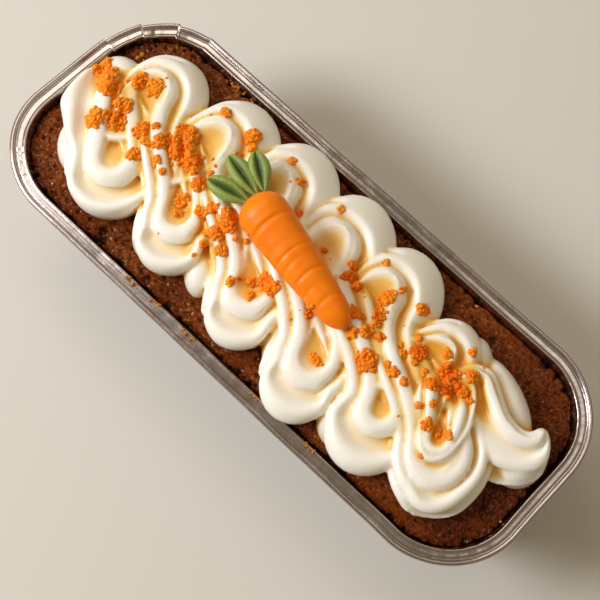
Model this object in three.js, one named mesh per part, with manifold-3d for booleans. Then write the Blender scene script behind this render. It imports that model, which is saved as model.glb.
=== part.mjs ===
// A carrot loaf cake baked in its own foil tin. Cream cheese icing is piped to and fro
// across the top as one ridged rope, and a moulded sugar carrot with three leaves lies on it.
// Millimetres, +Z up, the long side along X. The origin is the middle of the tin's base.

import * as THREE from 'three';
import Module from 'manifold-3d';

const wasm = await Module();
wasm.setup();

// ---- driving dimensions ----

const GAP = 0.3; // clearance between touching pieces
const FINEST_DETAIL = 0.05; // slivers thinner than this are dissolved after a join
const ICING_DETAIL = 0.25; // what stands out less than this from the icing is evened out

// foil tin
const RIM_LENGTH = 202.4;
const RIM_WIDTH = 79;
const TIN_HEIGHT = 45;
const CORNER_RADIUS = 27;
const END_SLANT = 2.2; // the left end is bent out of square by this much either way
const END_BOW = 0.8; // the two ends curve outwards
const FLANGE = 5; // width of the flat rim, rolled edge included
const ROLL = 0.8; // radius of the rolled edge
const FOIL = 0.5;
const WALL_DRAFT = THREE.MathUtils.degToRad(12);
const FOOT_RADIUS = 3; // rounding between the wall and the base

// cake
const CAKE_DROP = 2.8; // the baked top lies this far below the rim at the wall
const CAKE_DOME = 0.3; // and rises this much towards the middle

// piped icing
const ROPE_HALF_WIDTH = 9;
const ROPE_HALF_HEIGHT = 6.5;
const RIDGE_SPACING = 41; // degrees round the rope from one ridge of the nozzle to the next
const GROOVE_DEPTH = 1.9;
const ROPE_SINK = 1.8; // how far the rope settles into the cake
const LIFT_NEARWARD = 3.4; // the passes towards the near side lie on top of the others
const LIFT_FARWARD = 1.6;
const ROUNDED_END = 2.5;
const SPLAYED = [9.5, 12.5]; // half widths where the rope starts to splay and where it is flat
const SPLAYED_HALF_WIDTH = 14.2; // half width of a section whose ridges are spread evenly
const RIDGE_WIDENING = 0.7; // how much wider the ridges are where the near side splays
const OUTER_ROLL = 2.3; // how far the outermost ridge bulges there

// Every turn of the rope: the middle of the bend and its radius, how far it leans, how far it
// is raised by icing below it, the radius of the hollow inside it, and how far the rope
// reaches outwards before, at and after the top of the bend. Turns alternate between the near
// side (-Y) and the far one.
const TURNS = [
  { x: -66, y: -12.5, radius: 5.5, lean: 24, raised: 0, hollow: 2.2, reach: [9.5, 17.5, 13.5] },
  { x: -73, y: 12, radius: 5.5, lean: 5, raised: 0, hollow: 3.6, reach: [5.5, 13, 13] },
  { x: -38.5, y: -11.5, radius: 5.5, lean: 22, raised: 0, hollow: 3.6, reach: [7.5, 19.5, 8.5] },
  { x: -47.5, y: 13, radius: 6.5, lean: -8, raised: 0, hollow: 4.4, reach: [5, 17.5, 15.5] },
  { x: -6.5, y: -13, radius: 6, lean: 16, raised: 0, hollow: 4, reach: [7.5, 18, 9] },
  { x: -23.5, y: 15.5, radius: 6, lean: 5, raised: 0, hollow: 4, reach: [5, 15.5, 15] },
  { x: 22, y: -15.5, radius: 6, lean: 14, raised: 0, hollow: 3.8, reach: [8.5, 20, 8] },
  { x: 2, y: 13.8, radius: 6.5, lean: 5, raised: 0, hollow: 4.2, reach: [6, 17, 13.5] },
  { x: 47, y: -13.5, radius: 4.5, lean: 13, raised: 0, hollow: 1.8, reach: [10, 23, 10] },
  { x: 22.5, y: 13, radius: 6, lean: 0, raised: 0, hollow: 3.8, reach: [5, 15.5, 14] },
  { x: 67.5, y: -11, radius: 8, lean: 26, raised: 0, hollow: 3, reach: [6.5, 12.5, 9.5] },
  { x: 47.5, y: 9.8, radius: 5, lean: -25, raised: 0, hollow: 3.2, reach: [5, 19, 18] },
  { x: 65, y: -8.5, radius: 3.8, lean: 18, raised: 1.6, hollow: 1.8, reach: [4.5, 5.2, 4.5] },
  { x: 62.5, y: 10, radius: 4, lean: 60, raised: 0.6, hollow: 1.8, reach: [5, 5.5, 5] },
];
const ROPE_START = { x: -86, y: 10, heading: -72 };
// The first stretch spreads out on its right: distance from the start and reach.
const START_REACH = [[0, 15], [9, 18], [18, 14.5]];
const WALL_AT_START = -94.8; // the wall of the tin, which it is pressed against
const WALL_PRESS = 5; // how far from the wall its pressure is felt
const HOLLOW_MOUTH = 2; // how far past a bend its hollow still stops the rope in full
const HOLLOW_OPENING = 0.36; // how fast that fades further along
const FREE = 60; // a reach so long that it limits nothing

// The last stretch: points of its middle line, and how far it reaches to either side.
const CLOSING = [
  { x: 59.5, y: 9, left: 3.5, right: 4 },
  { x: 59, y: 14, left: 3.5, right: 4 },
  { x: 63, y: 16, left: 3.5, right: 6 },
  { x: 69, y: 12.6, left: 3.2, right: 12 },
  { x: 75, y: 9.4, left: 3, right: 14.5 },
  { x: 80.5, y: 8.6, left: 3, right: 14.8 },
  { x: 84.3, y: 10, left: 2.6, right: 13 },
  { x: 85.6, y: 11.9, left: 2.5, right: 11 },
  { x: 86.3, y: 14, left: 2.4, right: 2.6 },
  { x: 85, y: 16.8, left: 2.2, right: 2.4 },
];
const CLOSING_SPACING = 54; // degrees from ridge to ridge
const CLOSING_RAISED = 0.8;

// Icing that fills the hollows: how high its middle lies over the rope's middle line, and
// how far it rises from there to its edge.
const BED_NEAR = 3.6;
const BED_FAR = 4.9;
const BED_RISE = 3;
const BED_HALF_LENGTH = 14;
const BED_HALF_WIDTH = 7;

// Lobes of an earlier layer that show between the turns.
const SMALL_LOBE = { length: 8.5, width: 5.2, height: 8, heading: 128 }; // half sizes
const LOBES = [
  { x: -43.5, y: -20.5, ...SMALL_LOBE },
  { x: -23.2, y: -18.1, ...SMALL_LOBE },
  { x: 11.3, y: -19.3, ...SMALL_LOBE },
  { x: 38, y: -23.4, ...SMALL_LOBE },
  { x: 61.5, y: -18.6, ...SMALL_LOBE },
  { x: -62.5, y: 17.5, ...SMALL_LOBE },
  { x: -9.5, y: 22, ...SMALL_LOBE },
  { x: 14, y: 20, ...SMALL_LOBE },
  { x: 58, y: 18.5, ...SMALL_LOBE },
  { x: 71.5, y: 16.6, length: 14, width: 5.5, height: 8.5, heading: 158 },
  { x: -86.5, y: 10.5, length: 9.5, width: 6.5, height: 10, heading: 18 },
  { x: -79, y: -14, length: 10.5, width: 8.5, height: 8.5, heading: 128 },
  { x: -91.5, y: -6.2, length: 3.4, width: 1.9, height: 7.5, heading: 168 },
  { x: 87.3, y: 4.2, length: 7.8, width: 7, height: 9, heading: 70 },
];
const LOBE_BASE = 0.8; // how far below the cake's top the middle of a lobe lies
const LOBE_FULLNESS = 0.87; // 1 is an ellipsoid, and less than that is squarer

// sugar carrot: from the middle of its head to its tip
const CARROT_HEAD = new THREE.Vector3(-24, 6.3, TIN_HEIGHT + 15);
const CARROT_TIP = new THREE.Vector3(23.8, -3.2, TIN_HEIGHT + 13);
const CARROT_RADIUS = 8;
const CARROT_FLATTENING = 0.82; // its height as a part of its width
// Creases across the body: place along it, depth, and the side in degrees where each is deepest.
const CARROT_CREASES = [
  { place: 0.22, depth: 0.7, side: 115 },
  { place: 0.3, depth: 0.1, side: 150 },
  { place: 0.375, depth: 0.14, side: 140 },
  { place: 0.445, depth: 0.34, side: 110 },
  { place: 0.51, depth: 0.24, side: 140 },
  { place: 0.612, depth: 0.42, side: 100 },
  { place: 0.7, depth: 0.22, side: 140 },
  { place: 0.803, depth: 0.36, side: 95 },
];
const CREASE_WIDTH = 0.018; // as a part of the body's length, as are the next two
const HEAD_ROUNDING = 0.14;
const TIP_ROUNDING = 0.13;
const CARROT_TAPER = 0.5; // part of the radius lost towards the tip

// leaves: root and tip of each
const LEAF_WIDTH = 7.2;
const LEAF_THICKNESS = 4;
const LEAF_GROOVE = 1.25; // depth of the groove along the middle
const LEAVES = [
  { root: [-22.8, 10.6], tip: [-33.6, 17.8] },
  { root: [-23.4, 8.2], tip: [-38.5, 11.4] },
  { root: [-23.6, 5], tip: [-38, 1.6] },
];
const LEAF_LEVEL = TIN_HEIGHT + 14;
const ROOT_DROP = 0.6; // how much lower the roots lie than the tips

// ---- closed skins ----

// Joins rings of equally many points, one after the other, and closes both ends on a pole.
function closedSkin(rings, startPole, endPole) {
  const count = rings[0].length;
  const points = [startPole, ...rings.flat(), endPole];
  const last = points.length - 1;
  const at = (ring, i) => 1 + ring * count + (i % count);
  const faces = [];
  for (let i = 0; i < count; i++) {
    faces.push([0, at(0, i + 1), at(0, i)]);
    faces.push([last, at(rings.length - 1, i), at(rings.length - 1, i + 1)]);
    for (let ring = 0; ring < rings.length - 1; ring++) {
      faces.push([at(ring, i), at(ring, i + 1), at(ring + 1, i + 1)]);
      faces.push([at(ring, i), at(ring + 1, i + 1), at(ring + 1, i)]);
    }
  }
  const volume = faces.reduce((sum, [a, b, c]) => {
    const normal = new THREE.Vector3().crossVectors(points[b], points[c]);
    return sum + normal.dot(points[a]);
  }, 0);
  const outward = volume > 0 ? faces : faces.map(([a, b, c]) => [a, c, b]);
  const geometry = new THREE.BufferGeometry().setFromPoints(points);
  geometry.setIndex(outward.flat());
  return geometry;
}

function toSolid(geometry) {
  const vertProperties = Float32Array.from(geometry.attributes.position.array);
  const triVerts = Uint32Array.from(geometry.index.array);
  return new wasm.Manifold(new wasm.Mesh({ numProp: 3, vertProperties, triVerts }));
}

// The largest body alone: what a cut leaves loose and air pockets closed in by a join go.
function outermost(solid) {
  const skins = solid.decompose();
  skins.sort((a, b) => b.volume() - a.volume());
  return skins[0];
}

function toGeometry(solid) {
  const { vertProperties, triVerts } = solid.getMesh();
  const geometry = new THREE.BufferGeometry();
  geometry.setAttribute('position', new THREE.BufferAttribute(vertProperties, 3));
  geometry.setIndex(new THREE.BufferAttribute(triVerts, 1));
  return geometry;
}

// ---- the tin's outline ----

const CORNER_STEPS = 8;
const SIDE_STEPS = 4;

// A rounded rectangle, moved inwards by inset: four quarter circles, joined by straight
// sides that are divided so that they can bow. The left end is then slanted.
function outline(inset, z) {
  const halfLength = RIM_LENGTH / 2 - END_BOW - inset;
  const halfWidth = RIM_WIDTH / 2 - inset;
  const radius = Math.max(CORNER_RADIUS - inset, 8);
  const corners = [[1, 1], [-1, 1], [-1, -1], [1, -1]];
  const flat = [];
  corners.forEach(([sx, sy], quarter) => {
    const middle = new THREE.Vector2(sx * (halfLength - radius), sy * (halfWidth - radius));
    for (let i = 0; i <= CORNER_STEPS; i++) {
      const angle = (quarter + i / CORNER_STEPS) * Math.PI / 2;
      flat.push(new THREE.Vector2(Math.cos(angle), Math.sin(angle)).multiplyScalar(radius).add(middle));
    }
    const [nx, ny] = corners[(quarter + 1) % 4];
    const from = flat[flat.length - 1];
    const next = new THREE.Vector2(nx * (halfLength - radius), ny * (halfWidth - radius));
    const turn = (quarter + 1) * Math.PI / 2;
    const to = new THREE.Vector2(Math.cos(turn), Math.sin(turn)).multiplyScalar(radius).add(next);
    for (let i = 1; i < SIDE_STEPS; i++) {
      flat.push(from.clone().lerp(to, i / SIDE_STEPS));
    }
  });
  return flat.map(({ x, y }) => {
    const across = y / (RIM_WIDTH / 2);
    const endward = Math.abs(x) / (RIM_LENGTH / 2);
    const bow = Math.sign(x) * END_BOW * (1 - across * across) * endward ** 4;
    const slant = x < 0 ? END_SLANT * Math.sin(across * Math.PI / 2) * endward ** 4 : 0;
    return new THREE.Vector3(x + bow + slant, y, z);
  });
}

// How far the inside of the wall lies from the rim's outer edge at a height.
function wallInset(z) {
  return FLANGE + (TIN_HEIGHT - z) * Math.tan(WALL_DRAFT);
}

function foilTin() {
  const wallThickness = FOIL / Math.cos(WALL_DRAFT);
  const footTop = FOOT_RADIUS + FOIL;
  const rings = [
    outline(wallInset(footTop) + 0.75 * FOOT_RADIUS, FOIL),
    outline(wallInset(footTop) + 0.15 * FOOT_RADIUS, FOIL + 0.35 * FOOT_RADIUS),
    outline(wallInset(footTop), footTop),
    outline(wallInset(TIN_HEIGHT - FOIL), TIN_HEIGHT - FOIL),
    outline(FLANGE, TIN_HEIGHT),
    outline(2 * ROLL, TIN_HEIGHT),
  ];
  const rollSteps = 5;
  for (let i = 0; i <= rollSteps; i++) {
    const angle = Math.PI * (0.25 + i / rollSteps);
    const inset = ROLL + ROLL * Math.cos(angle);
    rings.push(outline(inset, TIN_HEIGHT - FOIL / 2 + ROLL * Math.sin(angle)));
  }
  rings.push(
    outline(2 * ROLL, TIN_HEIGHT - FOIL),
    outline(FLANGE - wallThickness, TIN_HEIGHT - FOIL),
    outline(wallInset(footTop) - wallThickness, footTop),
    outline(wallInset(footTop) - wallThickness + 0.2 * FOOT_RADIUS, 0.3 * FOOT_RADIUS),
    outline(wallInset(footTop) - wallThickness + 0.8 * FOOT_RADIUS, 0),
  );
  return closedSkin(rings, new THREE.Vector3(0, 0, FOIL), new THREE.Vector3(0, 0, 0));
}

// ---- the cake ----

const CAKE_EDGE = TIN_HEIGHT - CAKE_DROP;

// Height of the baked top above the base, for a ring at this part of the way to the wall.
function cakeTop(part) {
  return CAKE_EDGE + CAKE_DOME * (1 - part ** 4);
}

function cake(raise = 0) {
  const footTop = FOOT_RADIUS + FOIL;
  const edgeRing = outline(wallInset(CAKE_EDGE) + GAP, CAKE_EDGE);
  const rings = [
    outline(wallInset(footTop) + FOOT_RADIUS, FOIL + GAP),
    outline(wallInset(footTop) + 0.3 * FOOT_RADIUS + GAP, FOIL + 0.5 * FOOT_RADIUS),
    outline(wallInset(footTop) + GAP, footTop + GAP),
    edgeRing,
  ];
  for (const part of [0.92, 0.75, 0.45]) {
    rings.push(edgeRing.map(({ x, y }) => new THREE.Vector3(x * part, y * part, cakeTop(part))));
  }
  const geometry = closedSkin(
    rings,
    new THREE.Vector3(0, 0, FOIL + GAP),
    new THREE.Vector3(0, 0, cakeTop(0)),
  );
  return geometry.translate(0, 0, raise);
}

// ---- the piped icing ----

const BEND_ANGLES = [-90, -60, -30, 0, 30, 60, 90]; // degrees from the top of a bend
const JOINING_PARTS = [1 / 3, 2 / 3]; // where stations lie on the curve between two bends
const STATIONS_PER_TURN = JOINING_PARTS.length + BEND_ANGLES.length;
const REACH_PARTS = [0.2, 0.5, 0.8]; // where in a bend each of its three reaches applies
const OVERLAP = 1; // stations that one pass goes on past the top of a bend
const FLATTEST = 86; // degrees from the top at which the section's side ends at most
const FOOT_SHARE = 0.82; // width of the rope's foot as a part of the rope's
const ROPE_LOW = CAKE_EDGE + ROPE_HALF_HEIGHT - ROPE_SINK; // height of its middle line

// The bend of a turn as points on a half circle. Near side turns open to -Y and far
// side ones to +Y, each turned by its lean.
function turnPoints(turn, index) {
  const lean = THREE.MathUtils.degToRad(turn.lean);
  const side = index % 2 === 0 ? 1 : -1;
  const outward = new THREE.Vector2(Math.sin(lean), -Math.cos(lean)).multiplyScalar(side);
  const onward = new THREE.Vector2(Math.cos(lean), Math.sin(lean));
  return BEND_ANGLES.map((degrees) => {
    const angle = THREE.MathUtils.degToRad(degrees);
    return new THREE.Vector2(turn.x, turn.y)
      .addScaledVector(onward, turn.radius * Math.sin(angle))
      .addScaledVector(outward, turn.radius * Math.cos(angle));
  });
}

// Points between a bend and the next one, on a curve that leaves and arrives straight.
function joiningPoints(from, fromWay, to, toWay) {
  const pull = from.distanceTo(to) / 3;
  const curve = new THREE.CubicBezierCurve(
    from,
    from.clone().addScaledVector(fromWay, pull),
    to.clone().addScaledVector(toWay, -pull),
    to,
  );
  return JOINING_PARTS.map((part) => curve.getPoint(part));
}

// Value at a place on a line of [place, value] marks.
function between(marks, place) {
  const after = marks.findIndex(([at]) => at > place);
  if (after === 0) return marks[0][1];
  if (after < 0) return marks.at(-1)[1];
  const [[from, low], [to, high]] = [marks[after - 1], marks[after]];
  return THREE.MathUtils.mapLinear(place, from, to, low, high);
}

// The same, evened out over a few millimetres.
function softened(marks, place) {
  const spread = 3.5;
  return (between(marks, place - spread) + 2 * between(marks, place)
    + between(marks, place + spread)) / 4;
}

// Stations along the rope's middle line, from its start to the end of its last bend. Each has
// its height, and for its left and right side how far the rope reaches there and where the
// hollow on that side, if it is near, stops it.
function ropeStations() {
  const heading = THREE.MathUtils.degToRad(ROPE_START.heading);
  const flat = [new THREE.Vector2(ROPE_START.x, ROPE_START.y)];
  const heights = [0];
  let way = new THREE.Vector2(Math.cos(heading), Math.sin(heading));
  TURNS.forEach((turn, index) => {
    const bend = turnPoints(turn, index);
    const entry = bend[1].clone().sub(bend[0]).normalize();
    flat.push(...joiningPoints(flat.at(-1), way, bend[0], entry), ...bend);
    way = bend.at(-1).clone().sub(bend.at(-2)).normalize();
    const raisedFrom = index > 0 ? TURNS[index - 1].raised : 0;
    const lift = index % 2 === 0 ? LIFT_NEARWARD : LIFT_FARWARD;
    heights.push(...JOINING_PARTS.map((along) => {
      const raised = THREE.MathUtils.lerp(raisedFrom, turn.raised, along);
      return raised + lift * Math.sin(Math.PI * along) ** 2;
    }), ...bend.map(() => turn.raised));
  });
  const travelled = [0];
  flat.slice(1).forEach((point, i) => travelled.push(travelled[i] + point.distanceTo(flat[i])));

  const reach = { left: [[0, ROPE_HALF_WIDTH]], right: [...START_REACH] };
  const bends = TURNS.map((turn, index) => {
    const lastStation = (index + 1) * STATIONS_PER_TURN;
    const first = travelled[lastStation - BEND_ANGLES.length + 1];
    const last = travelled[lastStation];
    const [inner, outer] = index % 2 === 0 ? ['left', 'right'] : ['right', 'left'];
    REACH_PARTS.forEach((part, i) => {
      reach[outer].push([THREE.MathUtils.lerp(first, last, part), turn.reach[i]]);
    });
    reach[inner].push([(first + last) / 2, ROPE_HALF_WIDTH]);
    return { first, last, inner, stop: turn.radius - turn.hollow };
  });
  return flat.map((point, i) => {
    const at = travelled[i];
    const stops = { left: FREE, right: FREE };
    bends.forEach(({ first, last, inner, stop }) => {
      const away = Math.max(first - at, at - last);
      const limit = stop + HOLLOW_OPENING * Math.max(away - HOLLOW_MOUTH, 0);
      stops[inner] = Math.min(stops[inner], limit);
    });
    return {
      middle: new THREE.Vector3(point.x, point.y, ROPE_LOW + heights[i]),
      left: { reach: softened(reach.left, at), stop: stops.left },
      right: { reach: softened(reach.right, at), stop: stops.right },
    };
  });
}

// One half of the rope's section: from its top ridge to its foot, sideways and up. Ridges of
// the nozzle stand an even angle apart, with grooves between them. Where the rope splays, its
// ridges spread out and the outer band has no groove, and on the near side it rolls over.
function halfSection({ reach, stop }, spacing, widening) {
  const splayed = THREE.MathUtils.smoothstep(reach, ...SPLAYED);
  const narrow = Math.min(reach, ROPE_HALF_WIDTH);
  const spread = (reach - narrow) / (SPLAYED_HALF_WIDTH - ROPE_HALF_WIDTH);
  const points = [1, 2, 3, 4].map((step) => {
    const turned = step * spacing / 2 * (1 + widening * splayed);
    const tilt = THREE.MathUtils.degToRad(Math.min(turned, FLATTEST - 3 * (4 - step)));
    const grooveLeft = step === 1 ? 1 : 1 - splayed;
    const raised = step === 2 && widening > 0 ? OUTER_ROLL * splayed : 0;
    const shift = raised - (step % 2 === 1 ? GROOVE_DEPTH * grooveLeft : 0);
    const evenly = SPLAYED_HALF_WIDTH * tilt / (Math.PI / 2);
    const across = narrow * Math.sin(tilt) + spread * (evenly - ROPE_HALF_WIDTH * Math.sin(tilt));
    const up = ROPE_HALF_HEIGHT * Math.cos(tilt);
    return [across + shift * Math.sin(tilt), up + shift * Math.cos(tilt)];
  });
  return [...points, [FOOT_SHARE * reach, null]].map(([across, up]) => {
    return [across * (1 + (across / stop) ** 4) ** -0.25, up];
  });
}

// Where the first stretch meets the wall it is flattened against it.
function pressedToWall(point) {
  const room = point.x - WALL_AT_START;
  if (room < WALL_PRESS) point.x = WALL_AT_START + WALL_PRESS * Math.exp(room / WALL_PRESS - 1);
  return point;
}

// A pass is the section carried along its stations, with the foot in the cake.
function ropePass(stations, spacing = RIDGE_SPACING, widening = RIDGE_WIDENING) {
  const way = (i) => {
    const from = stations[Math.max(i - 1, 0)].middle;
    const to = stations[Math.min(i + 1, stations.length - 1)].middle;
    return to.clone().sub(from).setZ(0).normalize();
  };
  const rings = stations.map(({ middle, left, right }, i) => {
    const along = way(i);
    const side = new THREE.Vector3(-along.y, along.x, 0);
    const place = (sideways, up) => {
      const point = middle.clone().addScaledVector(side, sideways);
      point.z = up === null ? CAKE_EDGE + GAP : middle.z + up;
      return pressedToWall(point);
    };
    const leftHalf = halfSection(left, spacing, 0).map(([across, up]) => place(across, up));
    const rightHalf = halfSection(right, spacing, widening).map(([across, up]) => place(-across, up));
    return [...leftHalf.reverse(), place(0, ROPE_HALF_HEIGHT), ...rightHalf];
  });
  const startPole = stations[0].middle.clone().addScaledVector(way(0), -ROUNDED_END);
  const endPole = stations.at(-1).middle.clone()
    .addScaledVector(way(stations.length - 1), ROUNDED_END);
  return closedSkin(rings, pressedToWall(startPole), endPole);
}

function closingPass() {
  const stations = CLOSING.map(({ x, y, left, right }) => ({
    middle: new THREE.Vector3(x, y, ROPE_LOW + CLOSING_RAISED),
    left: { reach: left, stop: FREE },
    right: { reach: right, stop: FREE },
  }));
  return ropePass(stations, CLOSING_SPACING, 0);
}

// Rings round a middle, each with its part of the half sizes and its height, turned by a
// heading.
function roundHeap({ x, y, length, width, heading }, levels, top, base) {
  const sides = 12;
  const turned = THREE.MathUtils.degToRad(heading);
  const rings = levels.map(([part, height]) => Array.from({ length: sides }, (_, i) => {
    const angle = 2 * Math.PI * i / sides;
    const flat = new THREE.Vector2(length * part * Math.cos(angle), width * part * Math.sin(angle));
    flat.rotateAround(new THREE.Vector2(), turned);
    return new THREE.Vector3(x + flat.x, y + flat.y, height);
  }));
  return closedSkin(rings, new THREE.Vector3(x, y, top), new THREE.Vector3(x, y, base));
}

// The bed under a turn's hollow: a shallow dish whose edge is buried in the rope.
function hollowBed({ x, y, lean, raised }, index) {
  const near = index % 2 === 0;
  const inward = THREE.MathUtils.degToRad(lean + 90);
  const shift = near ? BED_HALF_WIDTH : -BED_HALF_WIDTH;
  const bottom = ROPE_LOW + raised + (near ? BED_NEAR : BED_FAR);
  const base = CAKE_EDGE + GAP;
  const bed = {
    x: x + shift * Math.cos(inward),
    y: y + shift * Math.sin(inward),
    length: BED_HALF_LENGTH,
    width: BED_HALF_WIDTH,
    heading: lean + 90,
  };
  const levels = [0.5, 0.97].map((part) => [part, bottom + BED_RISE * part ** 2]);
  return roundHeap(bed, [...levels, [1, base]], bottom, base - GAP);
}

// A lobe is the upper half of a plump ellipsoid.
function lobe(place) {
  const base = CAKE_EDGE - LOBE_BASE;
  const levels = [30, 58, 85].map((degrees) => {
    const angle = THREE.MathUtils.degToRad(degrees);
    return [Math.sin(angle) ** LOBE_FULLNESS, base + place.height * Math.cos(angle)];
  });
  return roundHeap(place, levels, base + place.height, base);
}

function frosting(carved) {
  const stations = ropeStations();
  const bendTop = (index) => (index + 1) * STATIONS_PER_TURN - (BEND_ANGLES.length - 1) / 2;
  const pieces = TURNS.map((_, index) => {
    const from = index === 0 ? 0 : bendTop(index - 1);
    const to = index === TURNS.length - 1 ? stations.length : bendTop(index) + OVERLAP + 1;
    return ropePass(stations.slice(from, to));
  });
  pieces.push(closingPass(), ...TURNS.slice(0, -1).map(hollowBed), ...LOBES.map(lobe));
  const icing = pieces.map(toSolid).reduce((whole, piece) => whole.add(piece))
    .asOriginal().simplify(ICING_DETAIL);
  const pressed = carved.reduce((solid, tool) => solid.subtract(tool), icing);
  return toGeometry(outermost(pressed.simplify(FINEST_DETAIL)));
}

// ---- the sugar carrot ----

// Radius along the body, from 0 at the head to 1 at the tip, at an angle round it: a round
// head, a long taper and a blunt tip, with shallow creases across that fade round the body.
function carrotRadius(along, angle, grow) {
  const head = Math.sqrt(1 - (1 - Math.min(along / HEAD_ROUNDING, 1)) ** 2);
  const tip = Math.sqrt(1 - Math.max((along - 1) / TIP_ROUNDING + 1, 0) ** 2);
  const taper = 1 - CARROT_TAPER * along ** 1.6;
  const creases = CARROT_CREASES.reduce((sum, { place, depth, side }) => {
    const turned = 1 - Math.cos(angle - THREE.MathUtils.degToRad(side));
    const fade = 0.12 + 0.88 * Math.exp(-2 * turned);
    return sum + depth * fade * Math.exp(-(((along - place) / CREASE_WIDTH) ** 2));
  }, 0);
  return head * tip * (CARROT_RADIUS * taper - creases) + grow;
}

function carrotBody(grow = 0) {
  const sides = 18;
  const axis = CARROT_TIP.clone().sub(CARROT_HEAD);
  const across = new THREE.Vector3(-axis.y, axis.x, 0).normalize();
  const up = new THREE.Vector3().crossVectors(axis, across).normalize();
  const places = [0.012, 0.05, 0.1, 0.15, 0.85, 0.9, 0.95, 0.985];
  places.push(...CARROT_CREASES.flatMap(({ place }) => [place - 2 * CREASE_WIDTH, place]));
  places.sort((a, b) => a - b);
  const rings = places.map((along) => {
    const centre = CARROT_HEAD.clone().addScaledVector(axis, along);
    return Array.from({ length: sides }, (_, i) => {
      const angle = 2 * Math.PI * i / sides;
      const radius = carrotRadius(along, angle, grow);
      return centre.clone()
        .addScaledVector(across, radius * Math.cos(angle))
        .addScaledVector(up, CARROT_FLATTENING * radius * Math.sin(angle));
    });
  });
  const headPole = CARROT_HEAD.clone().addScaledVector(axis, -grow / axis.length());
  const tipPole = CARROT_TIP.clone().addScaledVector(axis, grow / axis.length());
  return closedSkin(rings, headPole, tipPole);
}

// A leaf is a plump almond, blunt at its tip, with a groove along the middle of its upper side.
function leaf({ root, tip }, grow = 0) {
  const sides = 12;
  const from = new THREE.Vector3(root[0], root[1], LEAF_LEVEL - ROOT_DROP);
  const axis = new THREE.Vector3(tip[0], tip[1], LEAF_LEVEL).sub(from);
  const length = axis.length();
  const across = new THREE.Vector3(-axis.y, axis.x, 0).normalize();
  const rings = [0.02, 0.1, 0.25, 0.45, 0.65, 0.82, 0.93, 0.985].map((along) => {
    const swelling = 0.75 + 0.25 * THREE.MathUtils.smoothstep(along, 0, 0.5);
    const plump = Math.sin(Math.PI * along ** 1.15) ** 0.5 * swelling;
    const centre = from.clone().addScaledVector(axis, along);
    return Array.from({ length: sides }, (_, i) => {
      const angle = 2 * Math.PI * (i + 0.5) / sides;
      const sideways = Math.cos(angle) * (LEAF_WIDTH / 2 * plump + grow);
      const groove = LEAF_GROOVE * plump * Math.exp(-((Math.cos(angle) / 0.35) ** 2));
      const lift = Math.sin(angle) * (LEAF_THICKNESS / 2 * plump + grow);
      const height = Math.sin(angle) > 0 && grow === 0 ? lift - groove : lift;
      return centre.clone().addScaledVector(across, sideways).add(new THREE.Vector3(0, 0, height));
    });
  });
  const ends = [from, from.clone().add(axis)];
  ends[0].addScaledVector(axis, -grow / length);
  ends[1].addScaledVector(axis, grow / length);
  return closedSkin(rings, ...ends);
}

// ---- assembly ----

// The space that the wall and the flange take, as a block round the tin's inside.
function rimGuard() {
  const top = TIN_HEIGHT + GAP;
  const low = TIN_HEIGHT - 15;
  const outside = [outline(-4, low), outline(-4, top)];
  const inside = [
    outline(wallInset(low) + GAP, low - 1),
    outline(wallInset(TIN_HEIGHT) + GAP, TIN_HEIGHT),
    outline(wallInset(TIN_HEIGHT), top + 1),
  ];
  const pole = (z) => new THREE.Vector3(0, 0, z);
  const block = toSolid(closedSkin(outside, pole(low), pole(top)));
  return block.subtract(toSolid(closedSkin(inside, pole(low - 1), pole(top + 1))));
}

function named(name, geometry, color, roughness, metalness = 0) {
  const material = new THREE.MeshStandardMaterial({ color, roughness, metalness });
  const mesh = new THREE.Mesh(geometry, material);
  mesh.name = name;
  return mesh;
}

const body = toSolid(carrotBody());
const bodyClearance = toSolid(carrotBody(GAP));
const leafClearances = LEAVES.map((place) => toSolid(leaf(place, GAP)));

const group = new THREE.Group();
group.add(named('foil_tin', foilTin(), 0xc9beb3, 0.35, 1));
group.add(named('cake', cake(), 0x6b3010, 0.9));
group.add(named(
  'frosting',
  frosting([toSolid(cake(GAP)), rimGuard(), bodyClearance, ...leafClearances]),
  0xf0e6d2,
  0.5,
));
group.add(named('carrot_body', toGeometry(body), 0xf77b0c, 0.4));
LEAVES.forEach((place, index) => {
  let green = toSolid(leaf(place)).subtract(bodyClearance);
  for (const neighbour of leafClearances.slice(0, index)) {
    green = green.subtract(neighbour);
  }
  group.add(named(`carrot_leaf_${index + 1}`, toGeometry(outermost(green)), 0x4c7a1e, 0.5));
});

// The bent end makes the rim a little longer on the left: the origin stays in its middle.
const bounds = new THREE.Box3().setFromObject(group);
group.position.x = -(bounds.min.x + bounds.max.x) / 2;

export default group;
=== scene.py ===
"""Carrot loaf cake in its own foil tin, with piped cream cheese icing and a sugar carrot.

Shapes are worked out in millimetres, with z counted from the rim of the tin, and are put
into metres in the CAD frame by to_frame(). The camera's place comes early, because the
crumbs are laid along its line of sight. Materials, lights and floor come last.
"""

import math

import bmesh
import bpy
import numpy as np
from mathutils import Matrix, Vector
from mathutils.bvhtree import BVHTree


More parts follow.
